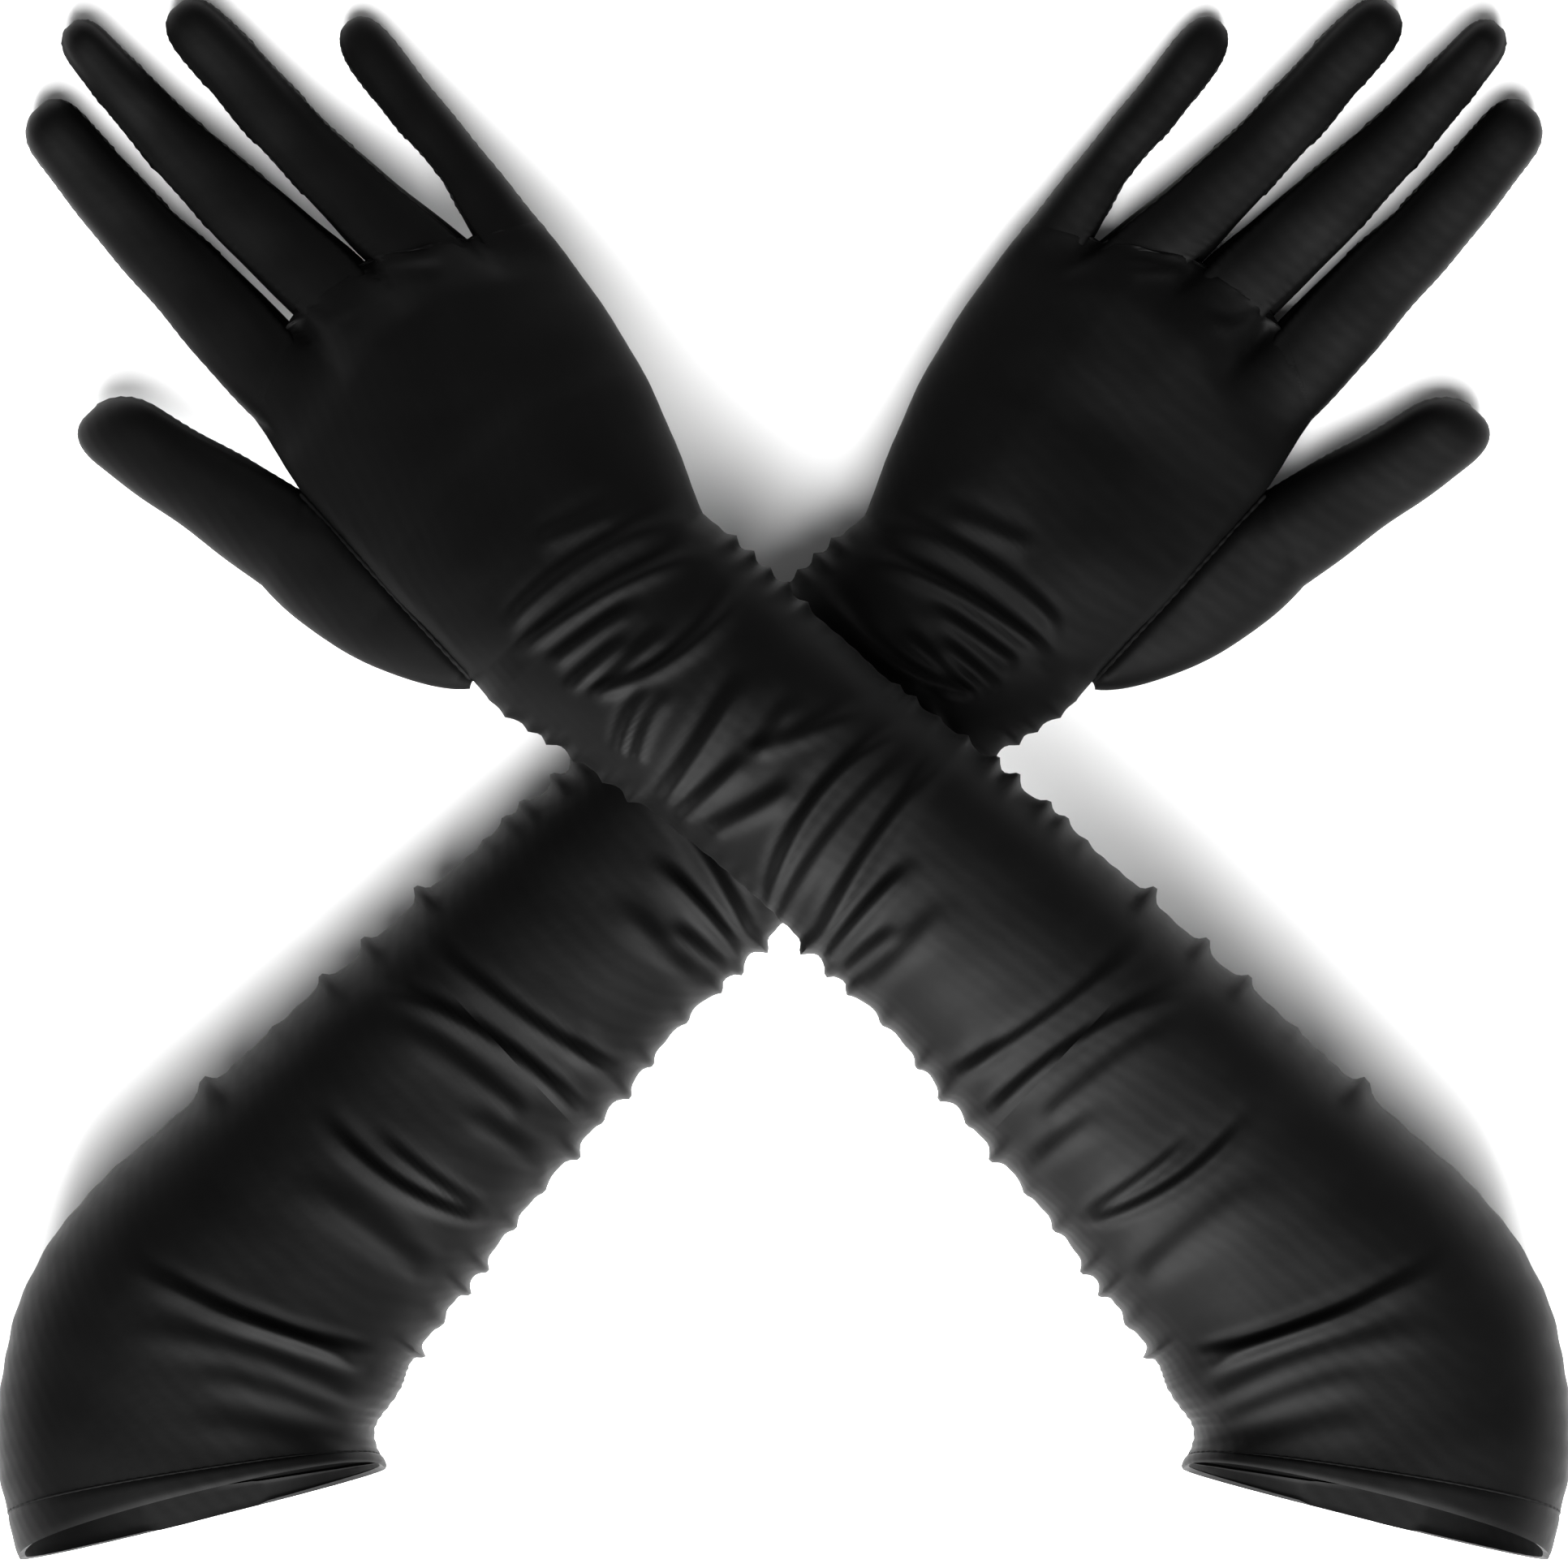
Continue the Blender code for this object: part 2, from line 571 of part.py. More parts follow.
def build_thumb(glove, materials):
    chart_ribs, tip = thumb_ribs()
    crotch_index = len(SEWN_SHARES) - 1
    gusset_end = crotch_index + 2

    def seam_offset(index, wall):
        """Where the seam cuts a rib that runs on past it, as a share of the half width."""
        start, end, _, _, bump = chart_ribs[index]
        half = np.linalg.norm(end - start) / 2
        return max(-1.0, (bump - half) / (half - wall)) if bump > 0 else -1.0

    def gusset_height(index):
        share = (index - crotch_index) / (gusset_end - crotch_index)
        return GUSSET_HEIGHTS[0] * (1 - share) + GUSSET_HEIGHTS[1] * share

    def offsets_of(index, wall):
        if index < crotch_index:
            edge = seam_offset(index, wall)
        elif index <= gusset_end:
            edge = -arch(gusset_height(index))
        else:
            edge = -1.0
        return spread(edge, 1.0, FINGER_COLUMNS)

    ribs = [(hand_point(*start), hand_point(*end), middle, depth)
            for start, end, middle, depth, _ in chart_ribs]
    parts = []
    for side, word in ((1, "front"), (-1, "back")):
        grids = [closed_tip(panel_rows(ribs, offsets_of, side, wall), tip, side, wall)
                 for wall in (0.0, FABRIC)]
        parts.append(make_object(f"{glove}_thumb_{word}", *grids, glove, materials["satin"]))
    gusset = ribs[crotch_index:gusset_end + 1]
    grids = [strip_rows(gusset, lambda index: gusset_height(index + crotch_index), -1, wall)
             for wall in (0.0, FABRIC)]
    parts.append(make_object(f"{glove}_thumb_gusset", *grids, glove, materials["satin"]))
    return {"thumb": parts}


# ---------------------------------------------------------------------------------------------
# Joints, as empties that the pieces hang from
# ---------------------------------------------------------------------------------------------

def pivot_places():
    """Where each body turns, in plan and height, on the flat left glove."""
    wrist = np.array([*WRIST_CENTRE, WRIST_DEPTH])
    elbow = ARM_KEYS[ELBOW_KEY]
    seam_start, seam_end = (hand_point(u, v) for u, v in THUMB_SEAM)
    places = {
        "hand": wrist,
        "cuff": np.array([*elbow[0:2], 0.0]),
        "thumb": np.array([*((seam_start + seam_end) / 2), PALM_DEPTH]),
    }
    for slot, name in enumerate(FINGERS):
        u, v = CROTCHES[slot:slot + 2].mean(axis=0)
        places[name] = np.array([*hand_point(u, v), (KNUCKLE_DEPTH + FINGERS[name]["depth"]) / 2])
    return places


def hang(glove, groups):
    """Parent each body's pieces to an empty on its joint, without moving them."""
    places = pivot_places()
    for body, parts in groups.items():
        place = places.get(body, np.array([0.0, CROSSING_Y, CROSSING_RIB["depth"] / 2])).copy()
        if glove == "left":
            place[2] += lift(place)
        else:
            place[0] *= -1
        pivot = bpy.data.objects.new(f"{glove}_{body}_pivot", None)
        bpy.context.collection.objects.link(pivot)
        pivot.location = place
        for part in parts:
            coords = np.empty(len(part.data.vertices) * 3)
            part.data.vertices.foreach_get("co", coords)
            part.data.vertices.foreach_set("co", (coords.reshape(-1, 3) - place).ravel())
            part.data.update()
            part.parent = pivot


def satin(name, colour):
    material = bpy.data.materials.new(name)
    material.use_nodes = True
    shader = material.node_tree.nodes["Principled BSDF"]
    shader.inputs["Base Color"].default_value = colour
    shader.inputs["Roughness"].default_value = 0.55
    shader.inputs["Metallic"].default_value = 0.0
    return material


def build_glove(glove):
    materials = {"satin": satin(f"{glove}_black_satin", BLACK_SATIN)}
    groups = build_arm(glove, materials)
    groups.update(build_hand(glove, materials))
    for slot, name in enumerate(FINGERS):
        groups.update(build_finger(glove, name, slot, materials))
    groups.update(build_thumb(glove, materials))
    hang(glove, groups)


def centre_over_origin():
    """Move the pair so that the middle of its plan is at X = Y = 0."""
    bpy.context.view_layer.update()
    corners = [obj.matrix_world @ vertex.co for obj in bpy.data.objects if obj.type == "MESH"
               for vertex in obj.data.vertices]
    low = [min(corner[axis] for corner in corners) for axis in range(3)]
    high = [max(corner[axis] for corner in corners) for axis in range(3)]
    for obj in bpy.data.objects:
        if obj.type == "EMPTY":
            obj.location.x -= (low[0] + high[0]) / 2
            obj.location.y -= (low[1] + high[1]) / 2
            obj.location.z -= low[2]


clear_scene()
for glove_name in ("right", "left"):
    build_glove(glove_name)
centre_over_origin()
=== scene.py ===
"""Pair of black stretch-satin opera gloves, palms up, crossed at the forearms, the left one on top.

Every shape is worked out once for a left glove lying flat, then mirrored for the right glove and
lifted over it for the left one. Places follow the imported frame's wrist joint.
"""
import json
import math

import bpy
import numpy as np
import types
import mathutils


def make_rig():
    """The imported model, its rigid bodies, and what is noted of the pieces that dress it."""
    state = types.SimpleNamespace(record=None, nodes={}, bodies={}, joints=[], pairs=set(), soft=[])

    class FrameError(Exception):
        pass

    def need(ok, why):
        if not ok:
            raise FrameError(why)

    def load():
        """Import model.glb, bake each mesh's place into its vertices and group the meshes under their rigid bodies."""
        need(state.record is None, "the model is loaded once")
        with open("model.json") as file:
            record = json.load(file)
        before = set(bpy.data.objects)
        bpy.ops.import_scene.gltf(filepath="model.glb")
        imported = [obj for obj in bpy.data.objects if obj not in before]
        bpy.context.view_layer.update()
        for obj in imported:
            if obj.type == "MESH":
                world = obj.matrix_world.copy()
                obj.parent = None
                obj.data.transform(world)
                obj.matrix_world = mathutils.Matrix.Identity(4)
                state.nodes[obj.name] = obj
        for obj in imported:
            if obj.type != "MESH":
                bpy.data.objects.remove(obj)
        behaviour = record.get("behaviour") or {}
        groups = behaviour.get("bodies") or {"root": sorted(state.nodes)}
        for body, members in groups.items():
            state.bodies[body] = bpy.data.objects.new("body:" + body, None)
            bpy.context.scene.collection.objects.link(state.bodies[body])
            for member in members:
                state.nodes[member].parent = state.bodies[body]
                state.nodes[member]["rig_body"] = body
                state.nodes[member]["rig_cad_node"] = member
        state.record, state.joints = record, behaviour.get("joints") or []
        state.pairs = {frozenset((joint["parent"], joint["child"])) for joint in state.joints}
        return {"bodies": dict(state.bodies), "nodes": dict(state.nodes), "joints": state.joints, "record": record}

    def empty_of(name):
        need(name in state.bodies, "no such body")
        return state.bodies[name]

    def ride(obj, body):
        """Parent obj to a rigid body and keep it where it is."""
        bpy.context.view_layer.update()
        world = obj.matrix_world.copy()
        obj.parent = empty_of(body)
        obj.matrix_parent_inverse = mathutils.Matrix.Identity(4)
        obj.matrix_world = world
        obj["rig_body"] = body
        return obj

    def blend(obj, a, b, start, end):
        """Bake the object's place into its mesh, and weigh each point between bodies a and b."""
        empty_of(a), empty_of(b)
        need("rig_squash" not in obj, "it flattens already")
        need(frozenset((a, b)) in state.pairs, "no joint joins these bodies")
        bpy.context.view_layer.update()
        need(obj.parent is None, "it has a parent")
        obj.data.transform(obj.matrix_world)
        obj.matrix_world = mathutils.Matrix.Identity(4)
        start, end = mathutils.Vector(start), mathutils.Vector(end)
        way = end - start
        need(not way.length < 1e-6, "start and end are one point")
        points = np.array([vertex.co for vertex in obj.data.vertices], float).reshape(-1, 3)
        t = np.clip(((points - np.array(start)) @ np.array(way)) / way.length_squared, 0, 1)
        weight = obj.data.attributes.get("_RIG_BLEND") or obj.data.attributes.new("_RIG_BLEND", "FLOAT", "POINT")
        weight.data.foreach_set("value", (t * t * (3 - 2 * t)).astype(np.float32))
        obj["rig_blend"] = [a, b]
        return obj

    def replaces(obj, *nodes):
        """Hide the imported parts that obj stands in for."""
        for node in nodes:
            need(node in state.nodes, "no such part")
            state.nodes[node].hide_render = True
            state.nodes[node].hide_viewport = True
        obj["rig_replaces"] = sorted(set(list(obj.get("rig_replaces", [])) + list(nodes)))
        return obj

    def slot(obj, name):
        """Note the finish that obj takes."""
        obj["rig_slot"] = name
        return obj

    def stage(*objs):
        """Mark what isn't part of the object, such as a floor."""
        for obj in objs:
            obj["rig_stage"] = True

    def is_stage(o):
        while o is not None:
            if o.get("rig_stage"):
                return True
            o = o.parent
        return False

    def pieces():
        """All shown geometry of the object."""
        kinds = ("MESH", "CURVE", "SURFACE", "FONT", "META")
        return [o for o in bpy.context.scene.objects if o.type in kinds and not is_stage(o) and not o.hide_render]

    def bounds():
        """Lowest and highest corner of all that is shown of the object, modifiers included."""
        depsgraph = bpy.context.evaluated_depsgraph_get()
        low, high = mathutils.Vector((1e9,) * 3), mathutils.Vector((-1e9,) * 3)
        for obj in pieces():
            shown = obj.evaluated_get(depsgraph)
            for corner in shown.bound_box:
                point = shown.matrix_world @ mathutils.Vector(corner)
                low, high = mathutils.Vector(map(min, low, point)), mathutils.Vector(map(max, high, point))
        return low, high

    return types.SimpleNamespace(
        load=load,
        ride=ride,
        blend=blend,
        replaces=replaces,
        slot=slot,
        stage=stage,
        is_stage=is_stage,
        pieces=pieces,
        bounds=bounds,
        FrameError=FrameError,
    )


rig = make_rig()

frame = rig.load()
cad_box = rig.bounds()

# ---------------------------------------------------------------------------------------------
# Studio: a pale sweep, one broad key light that stands low at the elbows' side, and a broad fill
# above it on the same side. The camera looks straight down through a long lens.
# ---------------------------------------------------------------------------------------------
VIEW_WIDTH = 0.3671
CAMERA_HEIGHT = 4.0
GLOVE_HEIGHT = 0.045       # height of the plane that the view's width is measured at
SENSOR_WIDTH = 36.0        # millimetres, as Blender counts a lens
SWEEP_SIZE = 6.0           # half of the floor's side


def srgb(hex_colour):
    """A #rrggbb colour as linear RGBA."""
    values = [int(hex_colour[i:i + 2], 16) / 255 for i in (1, 3, 5)]
    linear = [v / 12.92 if v <= 0.04045 else ((v + 0.055) / 1.055) ** 2.4 for v in values]
    return (*linear, 1.0)


def add_node(tree, kind, settings=None, inputs=None):
    """Add one shader node, set its properties and its inputs; an input may be another's output."""
    made = tree.nodes.new(kind)
    for name, value in (settings or {}).items():
        setattr(made, name, value)
    for name, value in (inputs or {}).items():
        if isinstance(value, bpy.types.NodeSocket):
            tree.links.new(value, made.inputs[name])
        else:
            made.inputs[name].default_value = value
    return made


def area_light(name, place, size, power):
    """Square area light that looks at the middle of the gloves."""
    data = bpy.data.lights.new(name, "AREA")
    data.size, data.energy = size, power
    light = bpy.data.objects.new(name, data)
    bpy.context.collection.objects.link(light)
    light.location = place
    direction = -np.array(place)
    pitch = math.atan2(math.hypot(*direction[:2]), -direction[2])
    light.rotation_euler = (pitch, 0.0, math.atan2(direction[1], direction[0]) - math.pi / 2)
    return light


camera = bpy.data.objects.new("camera", bpy.data.cameras.new("camera"))
bpy.context.collection.objects.link(camera)
camera.location = (0.0, -0.0013, CAMERA_HEIGHT)
camera.data.sensor_width = SENSOR_WIDTH
camera.data.lens = SENSOR_WIDTH * (CAMERA_HEIGHT - GLOVE_HEIGHT) / VIEW_WIDTH
camera.data.clip_end = 20.0
bpy.context.scene.camera = camera
area_light("key", (0.0, -2.60, 1.25), 2.0, 470.0)
area_light("front_fill", (0.0, -1.5, 2.8), 2.2, 270.0)
world = bpy.data.worlds.new("studio")
world.use_nodes = True
world.node_tree.nodes["Background"].inputs["Color"].default_value = srgb("#ffffff")
world.node_tree.nodes["Background"].inputs["Strength"].default_value = 0.22
bpy.context.scene.world = world
bpy.context.scene.view_settings.view_transform = "Standard"

floor_mesh = bpy.data.meshes.new("sweep")
corners = [(x * SWEEP_SIZE, y * SWEEP_SIZE, 0) for x, y in ((-1, -1), (1, -1), (1, 1), (-1, 1))]
floor_mesh.from_pydata(corners, [], [(0, 1, 2, 3)])
floor = bpy.data.objects.new("sweep", floor_mesh)
bpy.context.collection.objects.link(floor)
floor.location.z = -0.0003
paper = bpy.data.materials.new("white_paper_sweep")
paper.use_nodes = True
paper.node_tree.nodes["Principled BSDF"].inputs["Base Color"].default_value = srgb("#f6f6f6")
paper.node_tree.nodes["Principled BSDF"].inputs["Roughness"].default_value = 0.9
floor_mesh.materials.append(paper)
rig.stage(floor)

# ---------------------------------------------------------------------------------------------
# Black stretch satin: warp-knit nylon and elastane, heat set. It is near black, with a soft
# half-gloss from the floating yarns and very fine ribs that run along the fabric.
# ---------------------------------------------------------------------------------------------
KNIT_RIB = 0.00045         # two wales of a fine warp knit, the finest that still shows
CRUMPLE = 0.009            # size of the faint unevenness of a worn fabric


def satin_material(name, hex_colour, roughness, rib_strength):
    """Satin: soft gloss broken by faint unevenness, fine ribs as bump."""
    material = bpy.data.materials.new(name)
    material.use_nodes = True
    tree = material.node_tree
    shader = tree.nodes["Principled BSDF"]
    place = add_node(tree, "ShaderNodeTexCoord")
    ribs = add_node(tree, "ShaderNodeTexWave", {"bands_direction": "DIAGONAL"},
                    {"Vector": place.outputs["Object"], "Scale": 1 / (KNIT_RIB * 20),
                     "Distortion": 1.5, "Detail": 1.0})
    crumple = add_node(tree, "ShaderNodeTexNoise", {},
                       {"Vector": place.outputs["Object"], "Scale": 1 / CRUMPLE, "Detail": 3.0})
    gloss = add_node(tree, "ShaderNodeMapRange", {},
                     {"Value": crumple.outputs["Fac"], "To Min": roughness - 0.05,
                      "To Max": roughness + 0.07})
    tone = add_node(tree, "ShaderNodeValToRGB", {}, {"Fac": crumple.outputs["Fac"]})
    tone.color_ramp.elements[0].color = srgb(hex_colour)
    tone.color_ramp.elements[1].color = (*[1.35 * c for c in srgb(hex_colour)[:3]], 1.0)
    soft = add_node(tree, "ShaderNodeBump", {},
                    {"Height": crumple.outputs["Fac"], "Strength": 0.25, "Distance": 0.0006})
    fine = add_node(tree, "ShaderNodeBump", {},
                    {"Height": ribs.outputs["Fac"], "Strength": rib_strength, "Distance": 0.00008,
                     "Normal": soft.outputs["Normal"]})
    tree.links.new(tone.outputs["Color"], shader.inputs["Base Color"])
    tree.links.new(gloss.outputs["Result"], shader.inputs["Roughness"])
    tree.links.new(fine.outputs["Normal"], shader.inputs["Normal"])
    shader.inputs["Specular IOR Level"].default_value = 0.06
    return material


SATIN = satin_material("black_stretch_satin", "#020202", 0.56, 0.30)
SEAM_THREAD = satin_material("black_overlock_thread", "#030303", 0.70, 0.5)

# ---------------------------------------------------------------------------------------------
# Lie of the gloves: the arm's centre line and cross ribs, the hand's chart and the lift of the
# upper glove. Lengths in metres, on a flat left glove whose wrist is the frame's left wrist joint.
# ---------------------------------------------------------------------------------------------
JOINTS = {joint["name"]: joint for joint in frame["record"]["behaviour"]["joints"]}
WRIST = np.array(JOINTS["left_wrist"]["pos_m"][:2])
CROSSING = np.array([0.0, WRIST[1] - 0.0346])
ALONG = np.array([-math.sin(math.radians(41.3)), math.cos(math.radians(41.3))])
ACROSS = np.array([ALONG[1], -ALONG[0]])
LIFT_HEIGHT, LIFT_REACH = 0.0465, 0.2150
SECTION_POWER = 2.35       # 2 would make the section a plain oval, more makes it squarer
WALL = 0.0006              # thickness of the fabric
SAG = 0.0007               # how far the gloves' own weight flattens them on the surface
FLOOR_GAP = 0.0001         # least height of any point over the surface

# Rib: centre x and y from the crossing, slant of the rib in degrees, width, depth, millimetres.
ARM_RIBS = np.array([
    (-43.9, 34.6, 41.0, 66.0, 40.0),    # wrist
    (0.0, 0.0, 46.5, 58.5, 45.0),       # crossing
    (48.2, -43.0, 47.0, 63.0, 50.0),    # forearm
    (107.1, -104.4, 45.0, 76.5, 60.0),  # below the elbow
    (131.1, -131.3, 23.6, 89.2, 66.0),  # elbow
    (140.3, -156.7, 2.0, 88.5, 68.0),   # cuff
    (136.5, -178.1, -14.0, 88.5, 70.0),  # hem
]) * np.array([1e-3, 1e-3, 1.0, 1e-3, 1e-3])
ELBOW_RIB, HEM_RIB = 4, 6
CENTRES = CROSSING + ARM_RIBS[:, :2]
RUNS = np.linalg.norm(np.diff(CENTRES, axis=0), axis=1)
DISTANCES = np.concatenate([[0.0], np.cumsum(RUNS)])


def smooth(value):
    """Smoothstep from 0 to 1."""
    value = np.clip(value, 0.0, 1.0)
    return value * value * (3 - 2 * value)


def through(keys, place):
    """Catmull-Rom curve through key rows, read at places counted in keys."""
    padded = np.vstack([2 * keys[0] - keys[1], keys, 2 * keys[-1] - keys[-2]])
    index = np.clip(np.floor(place).astype(int), 0, len(keys) - 2)
    t = (place - index)[..., None]
    before, start, end, after = (padded[index + k] for k in range(4))
    return 0.5 * (2 * start + (end - before) * t + (2 * before - 5 * start + 4 * end - after) * t ** 2
                  + (3 * start - before - 3 * end + after) * t ** 3)


def section(angle):
    """Offset and height of a squarish oval, both -1 to 1, from the inner end round over the top."""
    cosine, sine = np.cos(angle), np.sin(angle)
    share = 2 / SECTION_POWER
    return -np.sign(cosine) * np.abs(cosine) ** share, np.sign(sine) * np.abs(sine) ** share


def laid(height):
    """Heights of fabric that lies on the surface: sunk a little, and flat where it touches."""
    return np.maximum(height - SAG, FLOOR_GAP)


def hand_place(u, v):
    """Plan position of a place in the hand's chart: u from the wrist to the tips, v across."""
    return WRIST + np.asarray(u)[..., None] * ALONG + np.asarray(v)[..., None] * ACROSS


def in_world(points, glove):
    """The flat left glove's points where they lie: lifted by (1 - r^2)^2, or mirrored."""
    points = points.copy()
    if glove == "left":
        distance = np.hypot(points[..., 0] - CROSSING[0], points[..., 1] - CROSSING[1])
        points[..., 2] += LIFT_HEIGHT * (1 - np.clip(distance / LIFT_REACH, 0, 1) ** 2) ** 2
    else:
        points[..., 0] *= -1
    return points


def grid_normals(grid):
    """Unit normals of a tube's grid of points, from the cross product of its two directions."""
    padded = np.concatenate([grid[:, -1:], grid, grid[:, :1]], axis=1)
    along = np.gradient(padded, axis=0)
    around = np.gradient(padded, axis=1)
    normal = np.cross(along, around)[:, 1:-1]
    length = np.linalg.norm(normal, axis=-1, keepdims=True)
    return normal / np.maximum(length, 1e-12)


# ---------------------------------------------------------------------------------------------
# Folds: fabric that has slid down the arm gathers at the wrist, over the crossing, along the
# forearm and in the crook of the elbow. Each fold is a ridge beside a crease, along an arc.
# ---------------------------------------------------------------------------------------------
# Start, middle and end of each fold, then its half width and its height, in millimetres. The
# places, and the puckers' below, are x and y on the surface that the gloves lie on.
FOLDS = (
    ((-57, 56), (-44.7, 60.4), (-35.8, 63.4), 1.8, 1),
    ((-64.3, 36.8), (-47.6, 50.6), (-22, 61.4), 1.5, 1.3),
    ((-61.4, 30.9), (-41.7, 43.7), (-18.1, 53.5), 1.5, 1.9),
    ((-54.5, 27.9), (-43, 35.5), (-32.9, 41.7), 1.4, 1.4),
    ((-50.1, 22), (-42, 28.5), (-34.8, 33.8), 1.3, 1.3),
    ((-44.2, 20.1), (-35, 28.5), (-26, 35.8), 1.3, 1.3),
    ((-43.2, 20.6), (-27.9, 27), (-8.3, 46.6), 1.5, 1.9),
    ((-37.8, 6.8), (-35.8, 13.2), (-28.9, 24), 1.3, 1.7),
    ((-34.5, 4.5), (-32, 12.2), (-25.5, 22), 1.3, 1.4),
    ((-27.9, -4.5), (-17.1, 11.2), (-8.3, 26), 1.6, 2.1),
    ((-24, -8.5), (-16, -1), (-7.3, 7.3), 1.4, 1.6),
    ((-7.3, 7.3), (6, 12), (21.3, 18.1), 1.7, 1.2),
    ((-7.3, 7.3), (-1, 14), (4.5, 20.1), 1.6, 1.1),
    ((-17.1, -11.4), (-6, -6.5), (4.5, -0.6), 1.7, 1.7),
    ((-3.3, -27.2), (5, -8), (31.1, 14.2), 1.5, 2),
    ((8.5, -38), (19.3, -17.3), (40.9, 9.2), 1.5, 1.8),
    ((10.4, -40.9), (17.3, -32.1), (31.1, -18.3), 1.3, 1.9),
    ((13.4, -44.9), (20, -39), (28.1, -33.1), 1.3, 1.6),
    ((15.9, -49.8), (28, -39), (41, -27), 2.2, 1.3),
    ((-1, -32), (10, -14), (34, 10), 1.4, 1),
    ((40.8, -67.5), (60, -55.5), (85.6, -34.7), 1.3, 1.3),
    ((46.9, -78.4), (68, -60.5), (97.7, -46.9), 1.4, 1.8),
    ((61.4, -78.4), (78.4, -65), (94.1, -55.3), 2, 1),
    ((71.1, -102.6), (90.5, -94.1), (109.9, -75.9), 1.4, 1.9),
    ((71.1, -100.2), (84, -92), (96.5, -82), 1.2, 1.3),
    ((83.2, -115.9), (98, -103), (114.7, -92.9), 2.6, 1),
    ((36, -70), (44, -66), (52, -60), 1.6, 1),
    ((55, -92), (64, -84), (76, -76), 1.8, 1),
    ((97.7, -132.9), (129.3, -123.8), (154.7, -111.7), 1.4, 1.8),
    ((99, -136.5), (118, -128.5), (138.9, -122), 1.3, 1.3),
    ((97.7, -145), (124, -133.5), (154.7, -126.8), 2.2, 1.1),
    ((99, -151.1), (118, -143), (138.9, -137.7), 2, 0.9),
    ((100, -158), (118, -152), (140, -149), 2.2, 0.6),
    ((-112, 112), (-106, 107.5), (-99.5, 108.5), 1.2, 0.9),
    ((-93.9, 121.2), (-87, 121), (-79.4, 122.2), 1.2, 0.9),
    ((-107.2, 58.7), (-106.8, 54), (-106, 49), 1.2, 0.7),
)
# Puckers of the side seams: place and height, millimetres.
OUTER_PUCKERS = (
    ((-14, 63), 1.3), ((-10, 59), 1.5), ((-6, 54), 1.2), ((-2, 50), 1.6), ((3, 45), 1.1),
    ((27, 24), 1), ((32, 21), 1.2), ((38, 16), 1), ((45, 12), 1.6), ((50.8, 5.3), 2.2),
    ((55.7, 0.9), 2.4), ((62.6, -3.5), 2.2), ((66, -8.5), 1.8), ((72, -13), 0.8),
    ((88.7, -26.2), 3.2), ((101.5, -36), 2.8), ((109, -44.5), 2.6), ((121, -56), 0.7),
    ((136.6, -69.6), 3),
)
INNER_PUCKERS = (
    ((-62, 20), 1), ((-57, 17), 1.3), ((-52, 14), 1.1), ((-47, 11), 1.5), ((-42, 7), 1.3),
    ((-36, 2), 1.2), ((-30, -3), 1.6), ((7.4, -38.5), 2.8), ((12.5, -45.5), 3),
    ((16.5, -50), 2.2), ((24, -57), 1), ((31, -64), 1.4), ((37, -71.5), 2.6), ((42, -77), 1.2),
    ((47.8, -84), 2.6), ((54, -93), 1.1), ((60, -101), 1.3), ((67, -110), 2),
    ((72.6, -116), 2.2), ((77, -126), 1.4), ((81.6, -134.6), 2.4),
)
CROSSING_PLACE = (0, 6.8)  # the crossing, in the places' millimetres
FINE_STEPS = 3000          # steps along the arm in which a pucker's place is looked for
CREASE_DEPTH, CREASE_SHIFT = 0.45, 1.6
FOLD_SCALE = 0.78
PUCKER_REACH, PUCKER_WIDTH, PUCKER_RIPPLE = 0.10, 1.5, 0.22
POINT_SIZE, TIP_RINGS, TIP_SPAN = 1e-6, 3, 0.0036
MERGE_SCALE = 1e7          # points that agree to a ten-thousandth of a millimetre become one
SHARP_EDGE = 70            # degrees between faces from which an edge stays sharp: the rims
TUBE_SIDES = 8


def arc_of(start, middle, end):
    """An arc's start, run and bow, millimetres from the crossing.

    The bow is the arc's rise over the middle of its chord, so that the parabola 4 bow t (1 - t)
    passes the middle point. Its ends are kept to whole millimetres and the bow to a tenth.
    """
    start, middle, end = (np.array(point, float) for point in (start, middle, end))
    run, offset = end - start, middle - start
    length = np.linalg.norm(run)
    t = offset @ run / length ** 2
    side = (offset[0] * run[1] - offset[1] * run[0]) / length
    bow = np.round(side / (4 * t * (1 - t)), 1)
    start, end = (np.round(point - CROSSING_PLACE) for point in (start, end))
    return start, end - start, bow


def along_arm(place):
    """Whole millimetres from the wrist to the centre line's point that is nearest to a place."""
    distances = DISTANCES * 1000
    fine = np.linspace(0, distances[-1], FINE_STEPS)
    line = [np.interp(fine, distances, ARM_RIBS[:, k] * 1000) for k in (0, 1)]
    x, y = np.array(place, float) - CROSSING_PLACE
    return np.round(fine[np.argmin((line[0] - x) ** 2 + (line[1] - y) ** 2)])


def fold_height(plan):
    """Height of the folds at plan points.

    Across a fold, a bell curve for the ridge less a lower one beside it for the crease; along it,
    a quick rise from its gathered end and a slow fade towards the other.
    """
    from_crossing = (plan - CROSSING) * 1000
    height = np.zeros(plan.shape[:-1])
    for *points, width, rise in FOLDS:
        start, run, bow = arc_of(*points)
        length = np.linalg.norm(run)
        offset = from_crossing - start
        t = offset @ run / length ** 2
        side = (offset[..., 0] * run[1] - offset[..., 1] * run[0]) / length
        side = side - 4 * bow * t * (1 - t)
        spread = width * (1.15 + 0.6 * np.clip(t, 0, 1))
        ridge = np.exp(-(side / spread) ** 2)
        ridge -= CREASE_DEPTH * np.exp(-((side + CREASE_SHIFT * spread) / spread) ** 2)
        fade = smooth((t + 0.05) / 0.15) * (1 - smooth((t - 0.7) / 0.35))
        height += FOLD_SCALE * rise * ridge * fade
    return height / 1000


